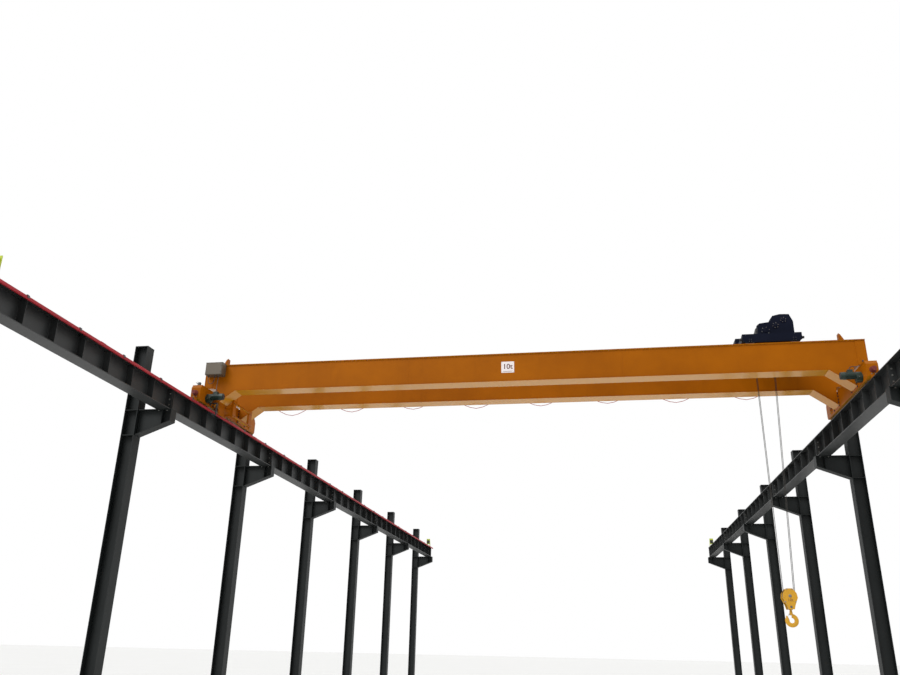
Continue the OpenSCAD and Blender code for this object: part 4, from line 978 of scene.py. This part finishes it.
# Hoisting rope: six-strand steel wire, greased dark, wound on the drum and led down to the block
# in four falls.
rope_r = 0.007
rope_steel, shade, place = new_material("rope_steel")
grease = noise(place, 7.0, 5.0)
strand = noise(place, 400.0, 2.0)
finished(shade, blended(shade, grease * 1.8 - 0.4, srgb(60, 56, 52), srgb(30, 27, 24)), 0.55 + grease * 0.2,
         strand, 0.0004, Metallic=0.4)


def rope(bm, top, low, turn=0.125, steps=8):
    """A laid rope from top to low: a ring of six strands, screwed along its length."""
    top, low = Vector(top), Vector(low)
    reach = (low - top).length
    part = bmesh.new()
    bmesh.ops.create_circle(part, segments=12, radius=rope_r)
    for i, vert in enumerate(part.verts):
        vert.co *= 1.0 if i % 2 == 0 else 0.74
    turns = max(1, round(reach / turn))
    bmesh.ops.spin(part, geom=part.verts[:] + part.edges[:], cent=(0, 0, 0), axis=(0, 0, 1),
                   dvec=(0, 0, reach / (turns * steps)), angle=2 * math.pi * turns, steps=turns * steps,
                   use_merge=False, use_duplicate=False)
    bmesh.ops.holes_fill(part, edges=part.edges[:])
    bmesh.ops.recalc_face_normals(part, faces=part.faces)
    gather(bm, part, [facing(top, low - top)])


lift_x, fall_x, block_x, block_z = 6.09, 6.555, 6.213, 3.0
falls = [((lift_x, drum_z), (block_x - 0.123, block_z)), ((fall_x, 8.975), (block_x + 0.123, block_z))]
for i, (top, low) in enumerate(falls):
    for side in (-1, 1):
        y = bridge_y + side * 0.06
        upper, lower = (top[0], y, top[1]), (low[0], y, low[1])
        bm = bmesh.new()
        rope(bm, upper, lower)
        fall = piece(f"rope_fall_{2 * i + (side + 3) // 2}", bm, rope_steel, None)
        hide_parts("ropes")
        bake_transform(fall)
windings = bmesh.new()
coil = coiled(0.22, rope_r, 8, 0.0168 / 32, 32 * 17, 17)
gather(windings, coil, [facing((drum_x, bridge_y + side * 0.06, drum_z), (0, side, 0)) for side in (-1, 1)])
piece("drum_windings", windings, rope_steel, "trolley")

# Hook block: two side plates and a middle plate on the sheave pin, tied by spacers; the forged
# hook turns in the crosshead and has a sprung latch across its mouth.
hook_yellow = enamel("hook_enamel", (206, 152, 22), rough=0.36, patch=0.08, dust=0.15, streak=0.15, chip=0.7,
                     under=(70, 58, 48))
dress(hook_yellow, "block_cheeks", "hook")
screws = bmesh.new()
for side in (-1, 1):
    y = bridge_y + side * 0.118
    turned(screws, (block_x, y, block_z), (0, side, 0),
           [(0, 0.034), (0.008, 0.034), (0.01, 0.03), (0.01, 0.02), (0.014, 0.018), (0.014, 0)], 24)
    gather(screws, hex_bolt(0.014), [facing((block_x + dx, y, block_z + dz), (0, side, 0)) for dx, dz in
                                     ((-0.058, 0.148), (0.058, 0.148), (-0.112, -0.128), (0.112, -0.128))])
piece("block_bolts", screws, zinc, "hook_block")
bm = lettered("10t", 0.09, 0.0005, 0.0, (block_x, bridge_y - 0.1182, block_z - 0.09))
piece("block_rating", bm, rating_brown, "hook_block")
# the latch: a pressed strip from a pin on the neck down to the inside of the hook's tip
hinge = Vector((block_x - 0.046, bridge_y, 2.607))
strip = bmesh.new()
chain = [strip.verts.new(hinge + Vector((dx, -0.013, dz))) for dx, dz in
         ((0.0, 0.004), (-0.006, -0.012), (-0.014, -0.026), (-0.024, -0.04), (-0.034, -0.05))]
edges = [strip.edges.new(pair) for pair in zip(chain, chain[1:])]
grown = bmesh.ops.extrude_edge_only(strip, edges=edges)["geom"]
bmesh.ops.translate(strip, verts=[v for v in grown if isinstance(v, bmesh.types.BMVert)], vec=(0, 0.026, 0))
bmesh.ops.recalc_face_normals(strip, faces=strip.faces)
bmesh.ops.solidify(strip, geom=strip.faces[:], thickness=0.003)
bmesh.ops.recalc_face_normals(strip, faces=strip.faces)
latch = bmesh.new()
gather(latch, strip)
rod(latch, hinge - Vector((0, 0.022, 0)), hinge + Vector((0, 0.022, 0)), 0.004, 12)
for side in (-1, 1):
    low, high = sorted((bridge_y + side * 0.015, bridge_y + side * 0.02))
    block(latch, (hinge.x - 0.007, low, hinge.z - 0.008), (hinge.x + 0.014, high, hinge.z + 0.008), 0.0015)
    turned(latch, hinge + Vector((0, side * 0.022, 0)), (0, side, 0),
           [(0, 0), (0, 0.007), (0.003, 0.006), (0.003, 0)], 12)
gather(latch, wire,
       [facing(hinge - Vector((0, 0.011, 0)), (0, 1, 0)) @ Matrix.Diagonal((0.6, 0.6, 0.18, 1.0))])
piece("hook_latch", latch, zinc, "load_hook")
